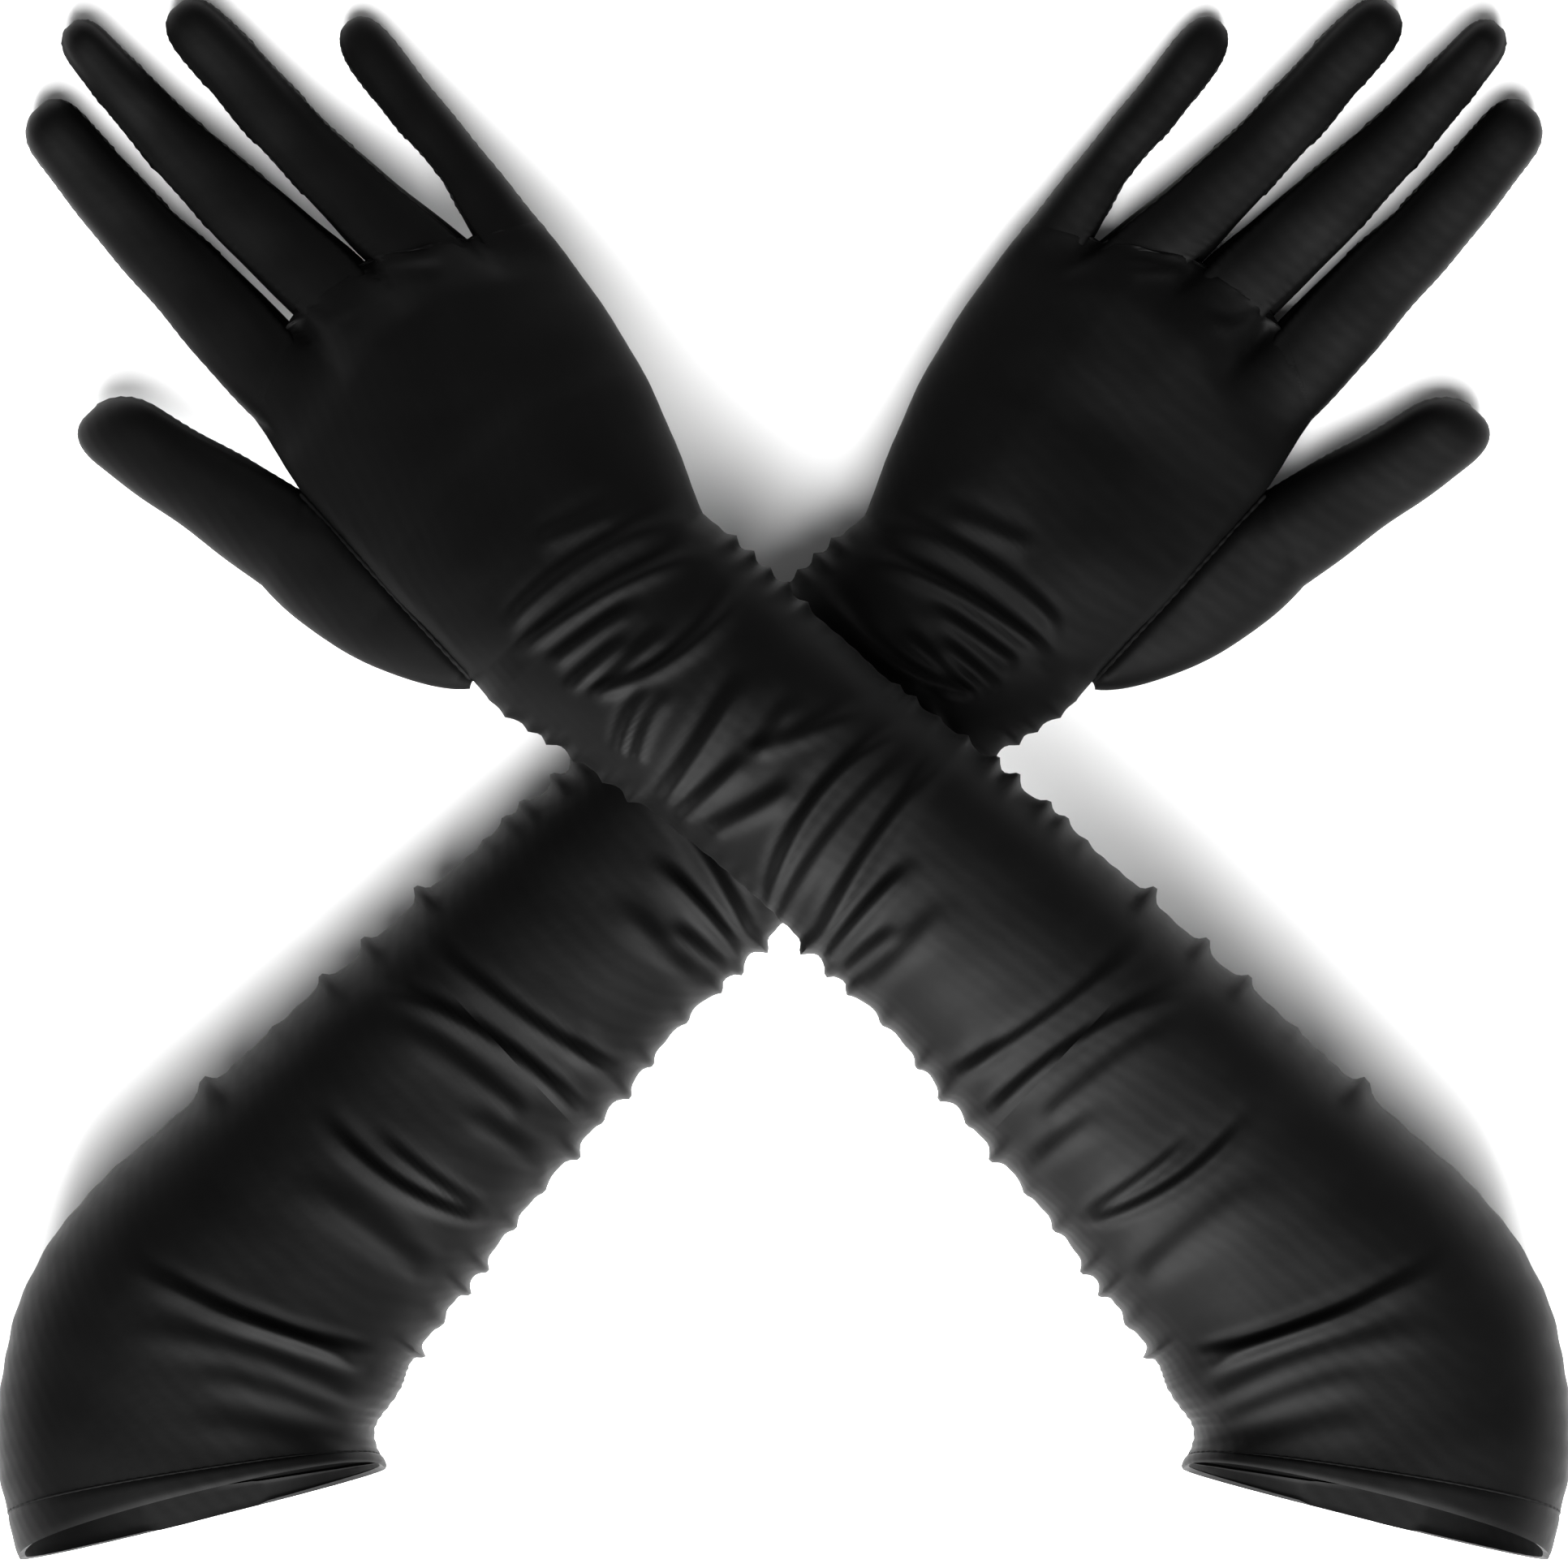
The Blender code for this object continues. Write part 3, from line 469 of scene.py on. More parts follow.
def pucker_height(distances, offset):
    """Height of the side seams' puckers: narrow bells along the arm, and a ripple between them."""
    height = np.zeros((len(distances), len(offset)))
    for sign, puckers in ((-1, INNER_PUCKERS), (1, OUTER_PUCKERS)):
        beside = np.exp(-((1 - sign * offset) / PUCKER_REACH) ** 2)[None]
        ripple = np.sin(distances * 1150 + 2.1 * np.sin(distances * 90 + sign))
        along = PUCKER_RIPPLE * (0.5 + 0.5 * ripple)
        for place, rise in puckers:
            away = np.abs(distances * 1000 - along_arm(place)) / PUCKER_WIDTH
            along = along + rise * np.exp(-away ** 1.6)
        height += beside * along[:, None]
    return height / 1000


def slack(plan):
    """Slow unevenness of the fabric, a sum of a few long waves."""
    x, y = plan[..., 0] * 1000, plan[..., 1] * 1000
    waves = np.sin(x / 9.1 + y / 13.7) * np.sin(y / 11.3 - x / 17.9 + 1.1)
    waves += 0.6 * np.sin(x / 5.3 - y / 6.1 + 0.4) * np.sin(x / 23 + y / 7.9)
    return 0.00028 * waves


def draped(grid, puckers=0.0, strength=1.0):
    """Push a grid of points out along its normals by the folds, puckers and slack."""
    normal = grid_normals(grid)
    plan = grid[..., :2]
    height = strength * fold_height(plan) + slack(plan) + puckers
    grid = grid + normal * height[..., None]
    grid[..., 2] = np.maximum(grid[..., 2], FLOOR_GAP)
    return grid


def shell(name, grid, glove, thickness, material, slot, replaced):
    """A fabric tube's wall from one grid: that surface, its inner face and the rims between.

    The inner face lies the thickness inside along the normals. Where the first ring is one point,
    a closed tip, its normal points from the ring TIP_RINGS further back to the tip.
    """
    normal = grid_normals(grid)
    if np.ptp(grid[0], axis=0).max() < POINT_SIZE:
        normal[0] = (grid[0].mean(axis=0) - grid[TIP_RINGS].mean(axis=0)) / TIP_SPAN
    grids = np.stack([grid, grid - normal * thickness])
    grids[1, ..., 2] = np.maximum(grids[1, ..., 2], FLOOR_GAP + thickness)
    grids = in_world(grids, glove)
    _, rows, columns, _ = grids.shape
    number = np.arange(2 * rows * columns).reshape(2, rows, columns)
    outside, inside = np.concatenate([number, number[:, :, :1]], axis=2)
    quads = [np.stack([outside[:-1, :-1], outside[1:, :-1], outside[1:, 1:], outside[:-1, 1:]], -1),
             np.stack([inside[:-1, :-1], inside[:-1, 1:], inside[1:, 1:], inside[1:, :-1]], -1),
             np.stack([outside[0, :-1], outside[0, 1:], inside[0, 1:], inside[0, :-1]], -1),
             np.stack([outside[-1, :-1], inside[-1, :-1], inside[-1, 1:], outside[-1, 1:]], -1)]
    faces = np.concatenate([q.reshape(-1, 4) for q in quads])
    if glove == "right":
        faces = faces[:, ::-1]
    return make_piece(name, grids.reshape(-1, 3), faces, material, slot, replaced)


def make_piece(name, points, faces, material, slot, replaced):
    """A mesh object from points and quads, with coincident points merged, shaded smooth."""
    keys = np.round(points * MERGE_SCALE).astype(np.int64)
    _, first, merged = np.unique(keys, axis=0, return_index=True, return_inverse=True)
    faces = merged.reshape(-1)[faces]
    quad = (faces != np.roll(faces, 1, axis=1)).all(axis=1)
    quad &= (faces[:, 0] != faces[:, 2]) & (faces[:, 1] != faces[:, 3])
    polygons = faces[quad].tolist()
    for corner in faces[~quad].tolist():
        ring = list(dict.fromkeys(corner))
        if len(ring) == 3:
            polygons.append(ring)
    mesh = bpy.data.meshes.new(name)
    mesh.from_pydata(points[first].tolist(), [], polygons)
    mesh.shade_smooth()
    mesh.set_sharp_from_angle(angle=math.radians(SHARP_EDGE))
    mesh.materials.append(material)
    piece = bpy.data.objects.new(name, mesh)
    bpy.context.collection.objects.link(piece)
    if slot:
        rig.slot(piece, slot)
    if replaced:
        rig.replaces(piece, *replaced)
    return piece


def cord_tube(name, path, glove, radius, pitch, material, slot):
    """A seam's raised thread: a tube along a path, its radius swelling at every stitch."""
    step = np.linalg.norm(np.diff(path, axis=0), axis=1)
    run = np.concatenate([[0], np.cumsum(step)])
    tangent = np.gradient(path, axis=0)
    tangent /= np.maximum(np.linalg.norm(tangent, axis=1, keepdims=True), 1e-12)
    side = np.cross(tangent, [0.13, 0.21, 0.97])
    side /= np.linalg.norm(side, axis=1, keepdims=True)
    lift = np.cross(side, tangent)
    swell = radius * (0.8 + 0.35 * np.abs(np.sin(math.pi * run / pitch)))
    swell[0] = swell[-1] = 0.0
    angle = np.linspace(0, 2 * math.pi, TUBE_SIDES, endpoint=False)[None, :, None]
    ring = np.cos(angle) * side[:, None] + np.sin(angle) * lift[:, None]
    grid = in_world(path[:, None] + swell[:, None, None] * ring, glove)
    rows, columns, _ = grid.shape
    number = np.arange(rows * columns).reshape(rows, columns)
    number = np.concatenate([number, number[:, :1]], axis=1)
    faces = np.stack([number[:-1, :-1], number[1:, :-1], number[1:, 1:], number[:-1, 1:]], -1)
    faces = faces.reshape(-1, 4)
    if glove == "right":
        faces = faces[:, ::-1]
    return make_piece(name, grid.reshape(-1, 3), faces, material, slot, ())


# ---------------------------------------------------------------------------------------------
# Sleeve: two long panels of the satin, joined along both sides of the arm, slid down so that the
# fabric gathers. One stretch runs from the knuckles over the wrist, the other down to the hem.
# ---------------------------------------------------------------------------------------------
PITCH = 0.0010             # from one section to the next along the arm
COLUMNS = 188              # points round a section
ANGLES = (np.arange(COLUMNS) + 0.5) * 2 * math.pi / COLUMNS
SLANTS = np.radians(ARM_RIBS[:, 2])
HALF_RIBS = np.column_stack([np.cos(SLANTS), np.sin(SLANTS)])
HALF_RIBS = HALF_RIBS * ARM_RIBS[:, 3:4] / 2
ARM_KEYS = np.column_stack([CENTRES - HALF_RIBS, CENTRES + HALF_RIBS, ARM_RIBS[:, 4]])
ELBOW_AT, HEM_AT = DISTANCES[ELBOW_RIB], DISTANCES[HEM_RIB]
SPLIT_AT = DISTANCES[2] + 0.030
HEM_WIDTH = 0.0070
HEM_SET_BACK, HEM_LIP = 0.0065, 0.0025
HEM_SLANT = math.radians(-104)     # the way that the hem faces
HEM_TUCK = 0.0015                  # how far the sleeve runs on under the hem


def arm_grid(distances):
    """Sections of the arm at distances from the wrist; the hem's upper edge is set back."""
    rows = through(ARM_KEYS, np.interp(distances, DISTANCES, np.arange(len(DISTANCES))))
    offset, height = section(ANGLES)
    centre, half = (rows[:, 0:2] + rows[:, 2:4]) / 2, (rows[:, 2:4] - rows[:, 0:2]) / 2
    plan = centre[:, None] + offset[None, :, None] * half[:, None]
    share = np.clip((distances - ELBOW_AT) / (HEM_AT - ELBOW_AT), 0, 1)[:, None]
    slide = np.where(height > 0, -HEM_SET_BACK * height, -HEM_LIP * height) * share ** 2
    plan = plan + slide[..., None] * np.array([math.cos(HEM_SLANT), math.sin(HEM_SLANT)])
    return np.dstack([plan, laid(rows[:, 4:5] / 2 * (1 + height))])


def arm_distances(start, end):
    """Even distances along the arm, as near to PITCH apart as they can be."""
    return np.linspace(start, end, max(2, int(round((end - start) / PITCH)) + 1))


# ---------------------------------------------------------------------------------------------
# Hand: palm and back are one with the sleeve's panels. Their sides follow the thumb's seam and the
# little finger's side, and past the middle of the hand the section parts into the four fingers.
# ---------------------------------------------------------------------------------------------
CROTCHES_U = np.array([0.0878, 0.0994, 0.0972, 0.0848, 0.0776])
WEB_U, SPREAD_U = 0.1170, 0.1550
WRIST_DEPTH, PALM_DEPTH, KNUCKLE_DEPTH = 0.0400, 0.0330, 0.0205
WRIST_SIDE_V, SIDE_BULGE = 0.033, 0.0042
THUMB_SEAM = np.array([(0.0050, -0.0330), (0.0660, -0.0346)])
SEAM_OVERLAP = 0.0080
SEAM_GROOVE, GROOVE_WIDTH, GROOVE_FROM = 0.0011, 0.0016, 0.0015
VALLEY_HEIGHT = 0.0040     # least height of the wall between two fingers' roots
PALM_ROWS = 88
# The palm's mounds and hollow: height, u, v and size of each.
PALM_BELLS = (
    (0.0022, 0.030, -0.017, 0.015), (0.0014, 0.030, 0.020, 0.014),
    (-0.0020, 0.052, 0.004, 0.013), (0.0012, 0.080, 0.0, 0.012),
)
# name, width and space after it at the web and near the tips, tip's u, lean, depth
FINGERS = (
    ("index", (0.0206, 0.0164), (0.0010, 0.0045), 0.1765, 0.0036, 0.0178),
    ("middle", (0.0202, 0.0148), (0.0014, 0.0072), 0.1860, 0.0034, 0.0182),
    ("ring", (0.0176, 0.0148), (0.0100, 0.0150), 0.1730, 0.0014, 0.0172),
    ("little", (0.0120, 0.0118), (0.0, 0.0), 0.1435, 0.0006, 0.0142),
)


def at_u(pair, u):
    """Value at u of a line given by its values at WEB_U and SPREAD_U."""
    return pair[0] + (pair[1] - pair[0]) * (u - WEB_U) / (SPREAD_U - WEB_U)


def finger_edges():
    """Both edges of every finger in v, at WEB_U and SPREAD_U."""
    low, edges = np.array((-0.0314, -0.0316)), []
    for _, widths, space, _, _, _ in FINGERS:
        edges.append((low, low + widths))
        low = low + widths + space
    return edges


EDGES = finger_edges()
CROTCHES_V = np.array([
    at_u(EDGES[0][0], CROTCHES_U[0]),
    *[at_u((EDGES[k][1] + EDGES[k + 1][0]) / 2, CROTCHES_U[k + 1]) for k in range(3)],
    at_u(EDGES[3][1], CROTCHES_U[4])])


def arch(offset):
    """Height of the section over its middle at an offset, both as shares of its half sizes."""
    return (1 - np.abs(np.clip(offset, -1, 1)) ** SECTION_POWER) ** (1 / SECTION_POWER)


def seam_v(u):
    """The straight line of the thumb's seam: its v at u."""
    (u0, v0), (u1, v1) = THUMB_SEAM
    return v0 + (v1 - v0) * (u - u0) / (u1 - u0)


def seam_overlap(u):
    """How far palm and thumb would run past their seam if they were whole."""
    (u0, _), (u1, _) = THUMB_SEAM
    rise = np.clip((u - u0) / (0.35 * (u1 - u0)), 0, 1)
    fall = np.clip((CROTCHES_U[0] - u) / (CROTCHES_U[0] - u1), 0, 1)
    return SEAM_OVERLAP * np.sin(rise * math.pi / 2) * np.sin(fall * math.pi / 2)


def palm_sides(share):
    """The palm's two sides in v and its depth, at a share of the way from wrist to knuckles."""
    u = share * CROTCHES_U[0]
    crotch = THUMB_SEAM[1, 0] / CROTCHES_U[0]
    past = np.clip((share - crotch) / (1 - crotch), 0, 1)
    low = seam_v(u) * (1 - past) + CROTCHES_V[0] * past
    high = WRIST_SIDE_V + (CROTCHES_V[4] - WRIST_SIDE_V) * share + SIDE_BULGE * np.sin(share * math.pi)
    return low, high, np.interp(share, (0, 0.45, 1), (WRIST_DEPTH, PALM_DEPTH, KNUCKLE_DEPTH))


def finger_lobes(v):
    """Height of the four fingers' sections over their middles, with shallow valleys between."""
    height = np.zeros_like(v)
    for slot, (*_, depth) in enumerate(FINGERS):
        low, high = CROTCHES_V[slot], CROTCHES_V[slot + 1]
        inside = (v >= low) & (v <= high)
        lobe = arch((2 * v - low - high) / (high - low)) * depth / 2
        height = np.where(inside, lobe, height)
    return height


def palm_grid(shares):
    """Sections of the hand, from the knuckle line back to the wrist, cut along the thumb's seam.

    A point's u is its share of the way to the knuckle line in front of it. The height passes from
    a plain oval to the fingers' own ovals over the last fifth.
    """
    share = shares[:, None]
    low, high, depth = palm_sides(share)
    overlap = seam_overlap(share * CROTCHES_U[0])
    middle, half = (low - overlap + high) / 2, (high - low + overlap) / 2
    cut = np.clip((low - middle) / half, -1, 0)
    first = np.arccos(np.abs(cut) ** (SECTION_POWER / 2))
    offset, height = section(first + ANGLES * (math.pi - first) / math.pi)
    v = middle + half * offset
    end_offset, _ = section(ANGLES)
    end_low, end_high, _ = palm_sides(1.0)
    v_end = (end_low + end_high) / 2 + (end_high - end_low) / 2 * end_offset
    u = share * np.interp(v_end, CROTCHES_V, CROTCHES_U)
    part = smooth((share - 0.80) / 0.20)
    valley = VALLEY_HEIGHT * smooth((1 - np.abs(offset)) / 0.12)
    lobes = np.maximum(finger_lobes(v), valley)
    z = depth / 2 + (1 - part) * depth / 2 * height + part * np.sign(height) * lobes
    muscle = sum(rise * bell(u, v, *place) for rise, *place in PALM_BELLS)
    beside_seam = np.exp(-((v - low) / GROOVE_WIDTH) ** 2) * (overlap > GROOVE_FROM)
    z = np.where(height > 0, z + muscle * (1 - part) - SEAM_GROOVE * beside_seam, z)
    return np.dstack([hand_place(u, v), laid(z)])


def bell(u, v, at_u_place, at_v, size):
    """Round bump of height 1 at a place of the hand."""
    return np.exp(-((u - at_u_place) ** 2 + (v - at_v) ** 2) / size ** 2)


def marker(glove, plan, height):
    """A plan place of the flat left glove as a world point."""
    return in_world(np.array([*plan, height]), glove)


for glove in ("right", "left"):
    shares = np.linspace(1.0, 0.0, PALM_ROWS)[:-1]
    distances = arm_distances(0.0, SPLIT_AT)
    grid = np.concatenate([palm_grid(shares), arm_grid(distances)])
    distances = np.concatenate([-shares * CROTCHES_U[0], distances])
    fade = smooth((np.maximum(distances, 0.0) + 0.002) / 0.008)[:, None]
    puckers = fade * pucker_height(distances, section(ANGLES)[0])
    nodes = [f"{glove}_{part}" for part in ("forearm_front", "forearm_back", "palm", "hand_back")]
    sleeve = shell(f"{glove}_palm_and_wrist_sleeve", draped(grid, puckers), glove, WALL,
                   SATIN, "satin", nodes)
    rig.blend(sleeve, f"{glove}_forearm", f"{glove}_hand",
             marker(glove, hand_place(-0.030, 0.0), 0.02),
             marker(glove, hand_place(0.004, 0.0), 0.02))
    distances = arm_distances(SPLIT_AT, HEM_AT - HEM_WIDTH + HEM_TUCK)
    grid = draped(arm_grid(distances), pucker_height(distances, section(ANGLES)[0]))
    sleeve = shell(f"{glove}_elbow_sleeve", grid, glove, WALL, SATIN, "satin",
                   [f"{glove}_cuff_front", f"{glove}_cuff_back"])
    before, after = (arm_grid(np.array([ELBOW_AT + shift])).mean(axis=(0, 1))
                     for shift in (-0.025, 0.020))
    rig.blend(sleeve, f"{glove}_forearm", f"{glove}_cuff",
             marker(glove, before[:2], 0.03), marker(glove, after[:2], 0.03))

# ---------------------------------------------------------------------------------------------
# Hem: the satin turned in and sewn down once round, a narrow double band with a line of stitches.
# It lies on the upper arm; its upper edge is set back from the lower one.
# ---------------------------------------------------------------------------------------------
HEM_ROWS, HEM_THICKNESS, HEM_BULGE = 9, 0.0016, 0.0006
HEM_FOLDS = 0.4            # how much of the folds' height is left in the doubled band
STITCH_PITCH, STITCH_RADIUS, STITCH_LOW = 0.0026, 0.00030, 0.0004

for glove in ("right", "left"):
    distances = np.linspace(HEM_AT - HEM_WIDTH, HEM_AT, HEM_ROWS)
    band = draped(arm_grid(distances), strength=HEM_FOLDS)
    turn = np.linspace(-1, 1, HEM_ROWS)
    band = band + grid_normals(band) * (HEM_BULGE * (1 - turn ** 4))[:, None, None]
    band[..., 2] = np.maximum(band[..., 2], FLOOR_GAP)
    hem = shell(f"{glove}_hem_band", band, glove, HEM_THICKNESS, SATIN, "hem_fold", [f"{glove}_hem"])
    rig.ride(hem, f"{glove}_cuff")
    beside = np.array([HEM_AT - HEM_WIDTH - 0.001, HEM_AT - HEM_WIDTH, HEM_AT - HEM_WIDTH + 0.001])
    row = draped(arm_grid(beside), strength=HEM_FOLDS)[1]
    row = np.concatenate([row, row[:2]])
    fine = np.linspace(0, len(row) - 1, 4 * len(row))
    path = np.column_stack([np.interp(fine, np.arange(len(row)), row[:, k]) for k in range(3)])
    path[:, 2] = np.maximum(path[:, 2], STITCH_LOW)
    thread = cord_tube(f"{glove}_hem_stitches", path, glove, STITCH_RADIUS, STITCH_PITCH,
                       SEAM_THREAD, None)
    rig.ride(thread, f"{glove}_cuff")

# ---------------------------------------------------------------------------------------------
# Fingers: front and back halves joined by narrow side strips (fourchettes). The two seams along
# each strip stand up as ridges that pucker with the stitches, and make the fingers look boxy.
# ---------------------------------------------------------------------------------------------
TIP_TAPER, TIP_ROUND = 0.80, 0.0110
TIP_POWER, TIP_ROWS, TIP_CROWDING = 2.5, 13, 1.6
FINGER_COLUMNS = 76
FINGER_ANGLES = (np.arange(FINGER_COLUMNS) + 0.5) * 2 * math.pi / FINGER_COLUMNS
FINGER_PITCH = 0.0011
RIDGE_WIDTH, RIDGE_HEIGHT = 0.0008, 0.00042
STRIP_AT_ROOT, STRIP_AT_TIP, STRIP_SINK = 0.58, 0.22, 0.00045


def seam_ridge(height, half_depth, place, run):
    """Ridge of a puckered seam at a height of the section, given as a share of its half depth.

    It is a bell curve across the seam, and its height swells once for every stitch along it.
    """
    away = (height - place) * half_depth / RIDGE_WIDTH
    swell = 0.8 + 0.35 * np.sin(2 * math.pi * run / STITCH_PITCH)
    return RIDGE_HEIGHT * np.exp(-away ** 2) * swell


def finger_grid(slot):
    """Sections of a finger from its tip back to 4 mm inside the palm.

    A curve through the ribs at the root, the web and the tip's start gives both edges, the middle
    height and the half depth; the tip closes as an oval whose power is TIP_POWER.
    """
    *_, tip_u, lean, depth = FINGERS[slot]
    low_edge, high_edge = EDGES[slot]
    start = (CROTCHES_U[0] + tip_u) / 2
    root_u = CROTCHES_U[slot:slot + 2].mean()
    round_u = tip_u - TIP_ROUND
    web = min(WEB_U, root_u + 0.4 * (round_u - root_u))

    def free_rib(u):
        shift = lean * max(0.0, (u - start) / (tip_u - start)) ** 2
        along = (u - root_u) / (tip_u - root_u)
        taper = 1 + (TIP_TAPER - 1) * along
        middle = KNUCKLE_DEPTH / 2 + (TIP_TAPER * depth / 2 - KNUCKLE_DEPTH / 2) * along
        return (u, at_u(low_edge, u) + shift, u, at_u(high_edge, u) + shift, middle, depth / 2 * taper)

    root = (CROTCHES_U[slot], CROTCHES_V[slot], CROTCHES_U[slot + 1], CROTCHES_V[slot + 1],
            KNUCKLE_DEPTH / 2, depth / 2)
    inside = tuple(np.array(root) - np.array((0.004, -0.0004, 0.004, 0.0004, 0, 0.0003)))
    us = [web, (web + round_u) / 2, round_u, tip_u]
    keys = np.array([inside, root, *[free_rib(u) for u in us]])
    run = np.concatenate([[0], np.cumsum(np.abs(np.diff((keys[:, 0] + keys[:, 2]) / 2)))])
    straight = np.arange(0, run[4], FINGER_PITCH)
    over_tip = 1 - (1 - np.linspace(0, 1, TIP_ROWS)) ** TIP_CROWDING
    places = np.concatenate([straight, run[4] + over_tip * TIP_ROUND])
    rows = through(keys, np.interp(places, run, np.arange(len(keys))))
    share = np.concatenate([np.ones(len(straight)), (1 - over_tip ** TIP_POWER) ** (1 / TIP_POWER)])
    offset, height = section(FINGER_ANGLES)
    low, high = rows[:, 0:2], rows[:, 2:4]
    middle, half = (low + high) / 2, (high - low) / 2 * share[:, None]
    chart = middle[:, None] + offset[None, :, None] * half[:, None]
    half_depth = (rows[:, 5] * share)[:, None]
    z = rows[:, 4:5] + half_depth * height
    grid = np.dstack([hand_place(chart[..., 0], chart[..., 1]), z])
    along = np.clip(places / (run[5] - 0.012), 0, 1)[:, None]
    strip = STRIP_AT_ROOT + (STRIP_AT_TIP - STRIP_AT_ROOT) * along
    bump = np.zeros_like(z)
    distance = places[:, None]
    for sign, joined in ((-1, slot > 0), (1, slot < len(FINGERS) - 1)):
        side = (offset * sign > 0)[None]
        if joined:
            ridges = 1.3 * seam_ridge(height, half_depth, strip + 0.20, distance)
            ridges = ridges + seam_ridge(height, half_depth, -strip, distance + FINGER_PITCH)
            sunk = smooth((strip + 0.14 - height) / 0.1) * (height > -strip)
            ridges = ridges - STRIP_SINK * sunk
        else:
            ridges = 0.7 * seam_ridge(height, half_depth, 0.0, distance)
        bump = bump + np.where(side, ridges, 0.0)
    bump = bump * share[:, None]
    grid = grid[::-1]
    grid = grid + grid_normals(grid) * bump[::-1][..., None]
    grid[..., 2] = laid(grid[..., 2])
    grid[0] = grid[0].mean(axis=0)
    return grid


NAMES = [finger[0] for finger in FINGERS]
for glove in ("right", "left"):
    for slot, name in enumerate(NAMES):
        beside = [NAMES[k] for k in (slot - 1, slot + 1) if 0 <= k < len(NAMES)]
        nodes = [f"{glove}_{name}_front", f"{glove}_{name}_back"]
        nodes += [f"{glove}_{name}_side_to_{other}" for other in beside]
        grid = draped(finger_grid(slot), strength=0.0)
        grid[0] = grid[0].mean(axis=0)
        finger = shell(f"{glove}_{name}_finger", grid, glove, WALL, SATIN, "satin", nodes)
        u = CROTCHES_U[slot:slot + 2].max()
        v = CROTCHES_V[slot:slot + 2].mean()
        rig.blend(finger, f"{glove}_hand", f"{glove}_{name}",
                 marker(glove, hand_place(u, v), 0.01),
                 marker(glove, hand_place(u + 0.018, v), 0.01))

# ---------------------------------------------------------------------------------------------
# Thumb: a piece of its own, sewn into the palm from the wrist to the crotch, with a small gusset
# at the crotch. The seam stands up as a ridge round the ball of the thumb.
# ---------------------------------------------------------------------------------------------
THUMB_LENGTH, THUMB_DEPTH = 0.0545, 0.0205
THUMB_TILT = 0.16          # how much higher its section stands beside the palm
THUMB_BASE_WIDTH, THUMB_TIP_WIDTH, THUMB_RIB_SLANT = 0.0228, 0.0170, 26.0
THUMB_POINTS = math.radians(15.5)  # how far the thumb points out from the hand's own line
THUMB_PITCH, BALL_ROWS = 0.0012, 46
THREAD_RADIUS, THREAD_PITCH, THREAD_ROWS, THREAD_SINK = 0.00050, 0.0028, 260, 0.0016


def thumb_keys():
    """Rows of the thumb from the wrist: inner u, v, outer u, v, middle height, half depth, overlap.

    Up to the crotch the inner edge follows the seam and the width grows as a sine; past it the
    thumb is free, tapers evenly and closes at the tip as the fingers do.
    """
    (u0, _), (u1, _) = THUMB_SEAM
    lean = math.radians(THUMB_RIB_SLANT)
    outward = np.array([-math.sin(lean), -math.cos(lean)])
    rows = []
    for share in np.linspace(0.02, 1.0, BALL_ROWS):
        u = u0 + (u1 - u0) * share
        bump = seam_overlap(u) * (1 - smooth((share - 0.75) / 0.25))
        width = THUMB_BASE_WIDTH * math.sin(share * math.pi / 2) ** 0.8
        seam = np.array([u, seam_v(u)])
        _, _, depth = palm_sides(u / CROTCHES_U[0])
        half_depth = THUMB_DEPTH / 2 * (0.45 + 0.55 * math.sin(share * math.pi / 2))
        rows.append((*(seam - outward * bump), *(seam + outward * width), depth / 2, half_depth, bump))
    centre = np.array([u1, seam_v(u1)]) + outward * THUMB_BASE_WIDTH / 2
    ahead = np.array([math.cos(THUMB_POINTS), -math.sin(THUMB_POINTS)])
    base_height = rows[-1][4]
    free = np.arange(THUMB_PITCH, THUMB_LENGTH - TIP_ROUND, THUMB_PITCH)
    over_tip = 1 - (1 - np.linspace(0, 1, TIP_ROWS)) ** TIP_CROWDING
    ends = THUMB_LENGTH - TIP_ROUND + over_tip * TIP_ROUND
    for distance in np.concatenate([free, ends]):
        along = distance / THUMB_LENGTH
        over = max(0.0, (distance - THUMB_LENGTH + TIP_ROUND) / TIP_ROUND)
        share = max(0.0, 1 - over ** TIP_POWER) ** (1 / TIP_POWER)
        half_width = (THUMB_BASE_WIDTH + (THUMB_TIP_WIDTH - THUMB_BASE_WIDTH) * along) / 2 * share
        turn = math.radians(THUMB_RIB_SLANT * (1 - along))
        out = np.array([-math.sin(turn), -math.cos(turn)])
        middle = centre + ahead * distance
        height = base_height + (TIP_TAPER * THUMB_DEPTH / 2 - base_height) * along
        half_depth = THUMB_DEPTH / 2 * (1 + (TIP_TAPER - 1) * along) * share
        inner, outer = middle - out * half_width, middle + out * half_width
        rows.append((*inner, *outer, height, half_depth, 0.0))
    return np.array(rows)


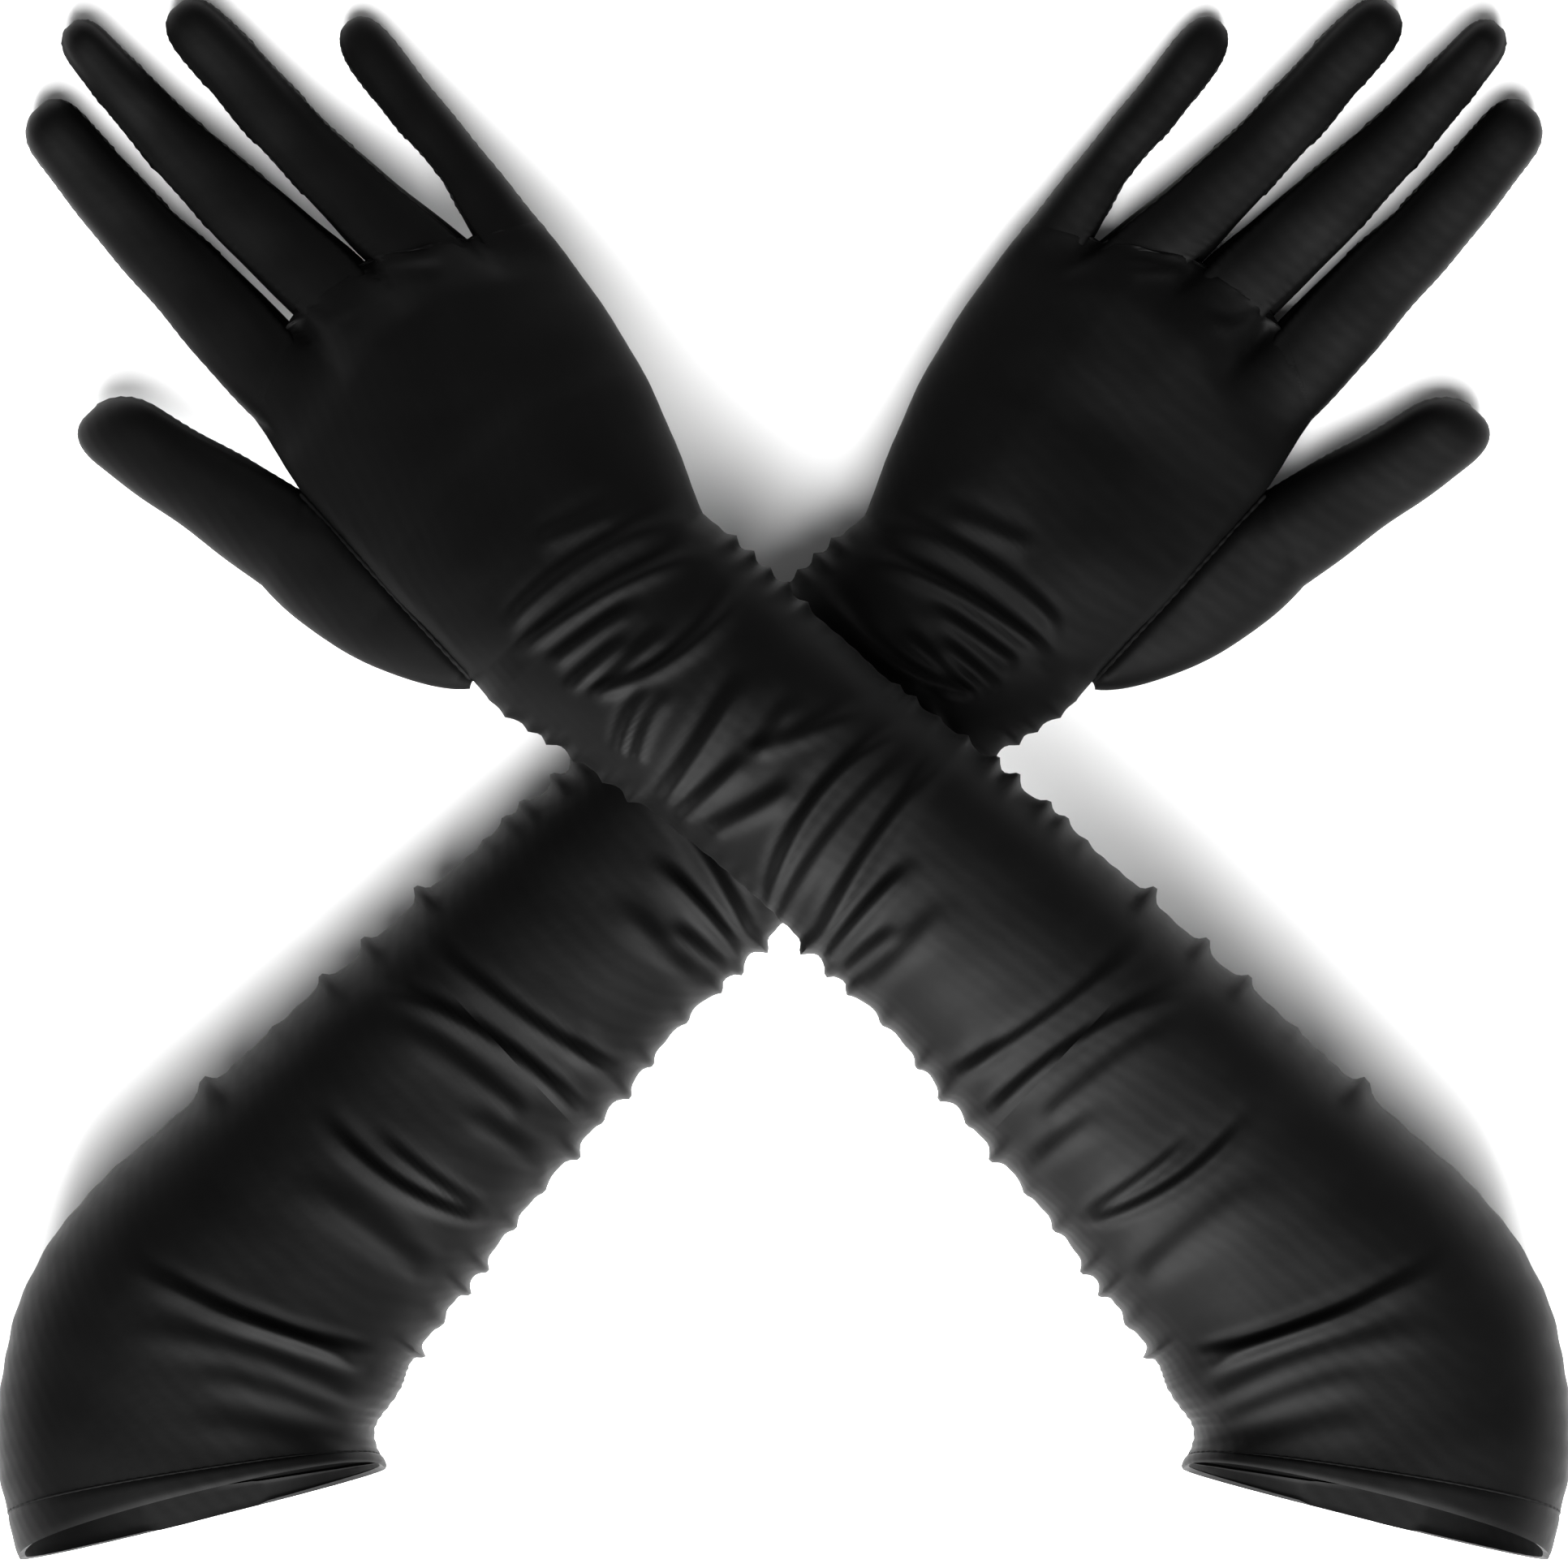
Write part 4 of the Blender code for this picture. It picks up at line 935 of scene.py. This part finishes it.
def thumb_grid():
    """Sections of the thumb from its tip back along the seam, cut where the palm takes over."""
    rows = thumb_keys()[::-1]
    low, high = rows[:, 0:2], rows[:, 2:4]
    middle, half = (low + high) / 2, (high - low) / 2
    width = np.linalg.norm(half, axis=1)
    cut = np.clip((rows[:, 6] - width) / np.maximum(width, 1e-6), -1, 0)
    cut = np.where(rows[:, 6] > 0, cut, -1.0)
    first = np.arccos(np.abs(cut) ** (SECTION_POWER / 2))[:, None]
    flipped = 2 * math.pi - FINGER_ANGLES[::-1]
    offset, height = section(first + flipped * (math.pi - first) / math.pi)
    chart = middle[:, None] + offset[..., None] * half[:, None]
    z = rows[:, 4:5] + rows[:, 5:6] * height * (1 - THUMB_TILT * offset)
    distance = np.arange(len(rows))[:, None] * THUMB_PITCH
    bump = 0.8 * seam_ridge(np.abs(height), rows[:, 5:6], 0.30, distance) * (offset < -0.5)
    from_seam = (chart[..., 1] - seam_v(chart[..., 0])) / GROOVE_WIDTH
    beside_seam = np.exp(-from_seam ** 2) * (rows[:, 6:7] > GROOVE_FROM)
    z = z - SEAM_GROOVE * beside_seam * (height > 0)
    grid = np.dstack([hand_place(chart[..., 0], chart[..., 1]), z])
    grid = grid[:, ::-1]
    normal = -grid_normals(grid)
    normal = normal * np.sign((normal[..., 2] * (z[:, ::-1] - rows[:, 4:5])).sum())
    grid = grid + normal * bump[:, ::-1][..., None]
    grid[..., 2] = laid(grid[..., 2])
    grid[0] = grid[0].mean(axis=0)
    return grid[:, ::-1]


def seam_path():
    """The thumb's seam on the palm side, where palm and thumb meet, from the crotch to the wrist."""
    u = np.linspace(0.066, 0.006, THREAD_ROWS)
    low, high, depth = palm_sides(u / CROTCHES_U[0])
    overlap = seam_overlap(u)
    middle, half = (low - overlap + high) / 2, (high - low + overlap) / 2
    z = depth / 2 * (1 + arch((low - middle) / half)) - THREAD_SINK
    return np.column_stack([hand_place(u, low), z])


for glove in ("right", "left"):
    across = [marker(glove, hand_place(0.035, v), 0.015) for v in (-0.033, -0.041)]
    grid = draped(thumb_grid(), strength=0.0)
    grid[0] = grid[0].mean(axis=0)
    thumb = shell(f"{glove}_thumb", grid, glove, WALL, SATIN, "satin",
                  [f"{glove}_thumb_front", f"{glove}_thumb_back", f"{glove}_thumb_gusset"])
    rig.blend(thumb, f"{glove}_hand", f"{glove}_thumb", *across)
    thread = cord_tube(f"{glove}_thumb_seam", seam_path(), glove, THREAD_RADIUS, THREAD_PITCH,
                       SEAM_THREAD, None)
    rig.blend(thread, f"{glove}_hand", f"{glove}_thumb", *across)

sizes = {"cad": [[float(v) for v in corner] for corner in cad_box],
         "visual": [[float(v) for v in corner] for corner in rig.bounds()]}
with open("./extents.json", "w") as handle:
    json.dump(sizes, handle)
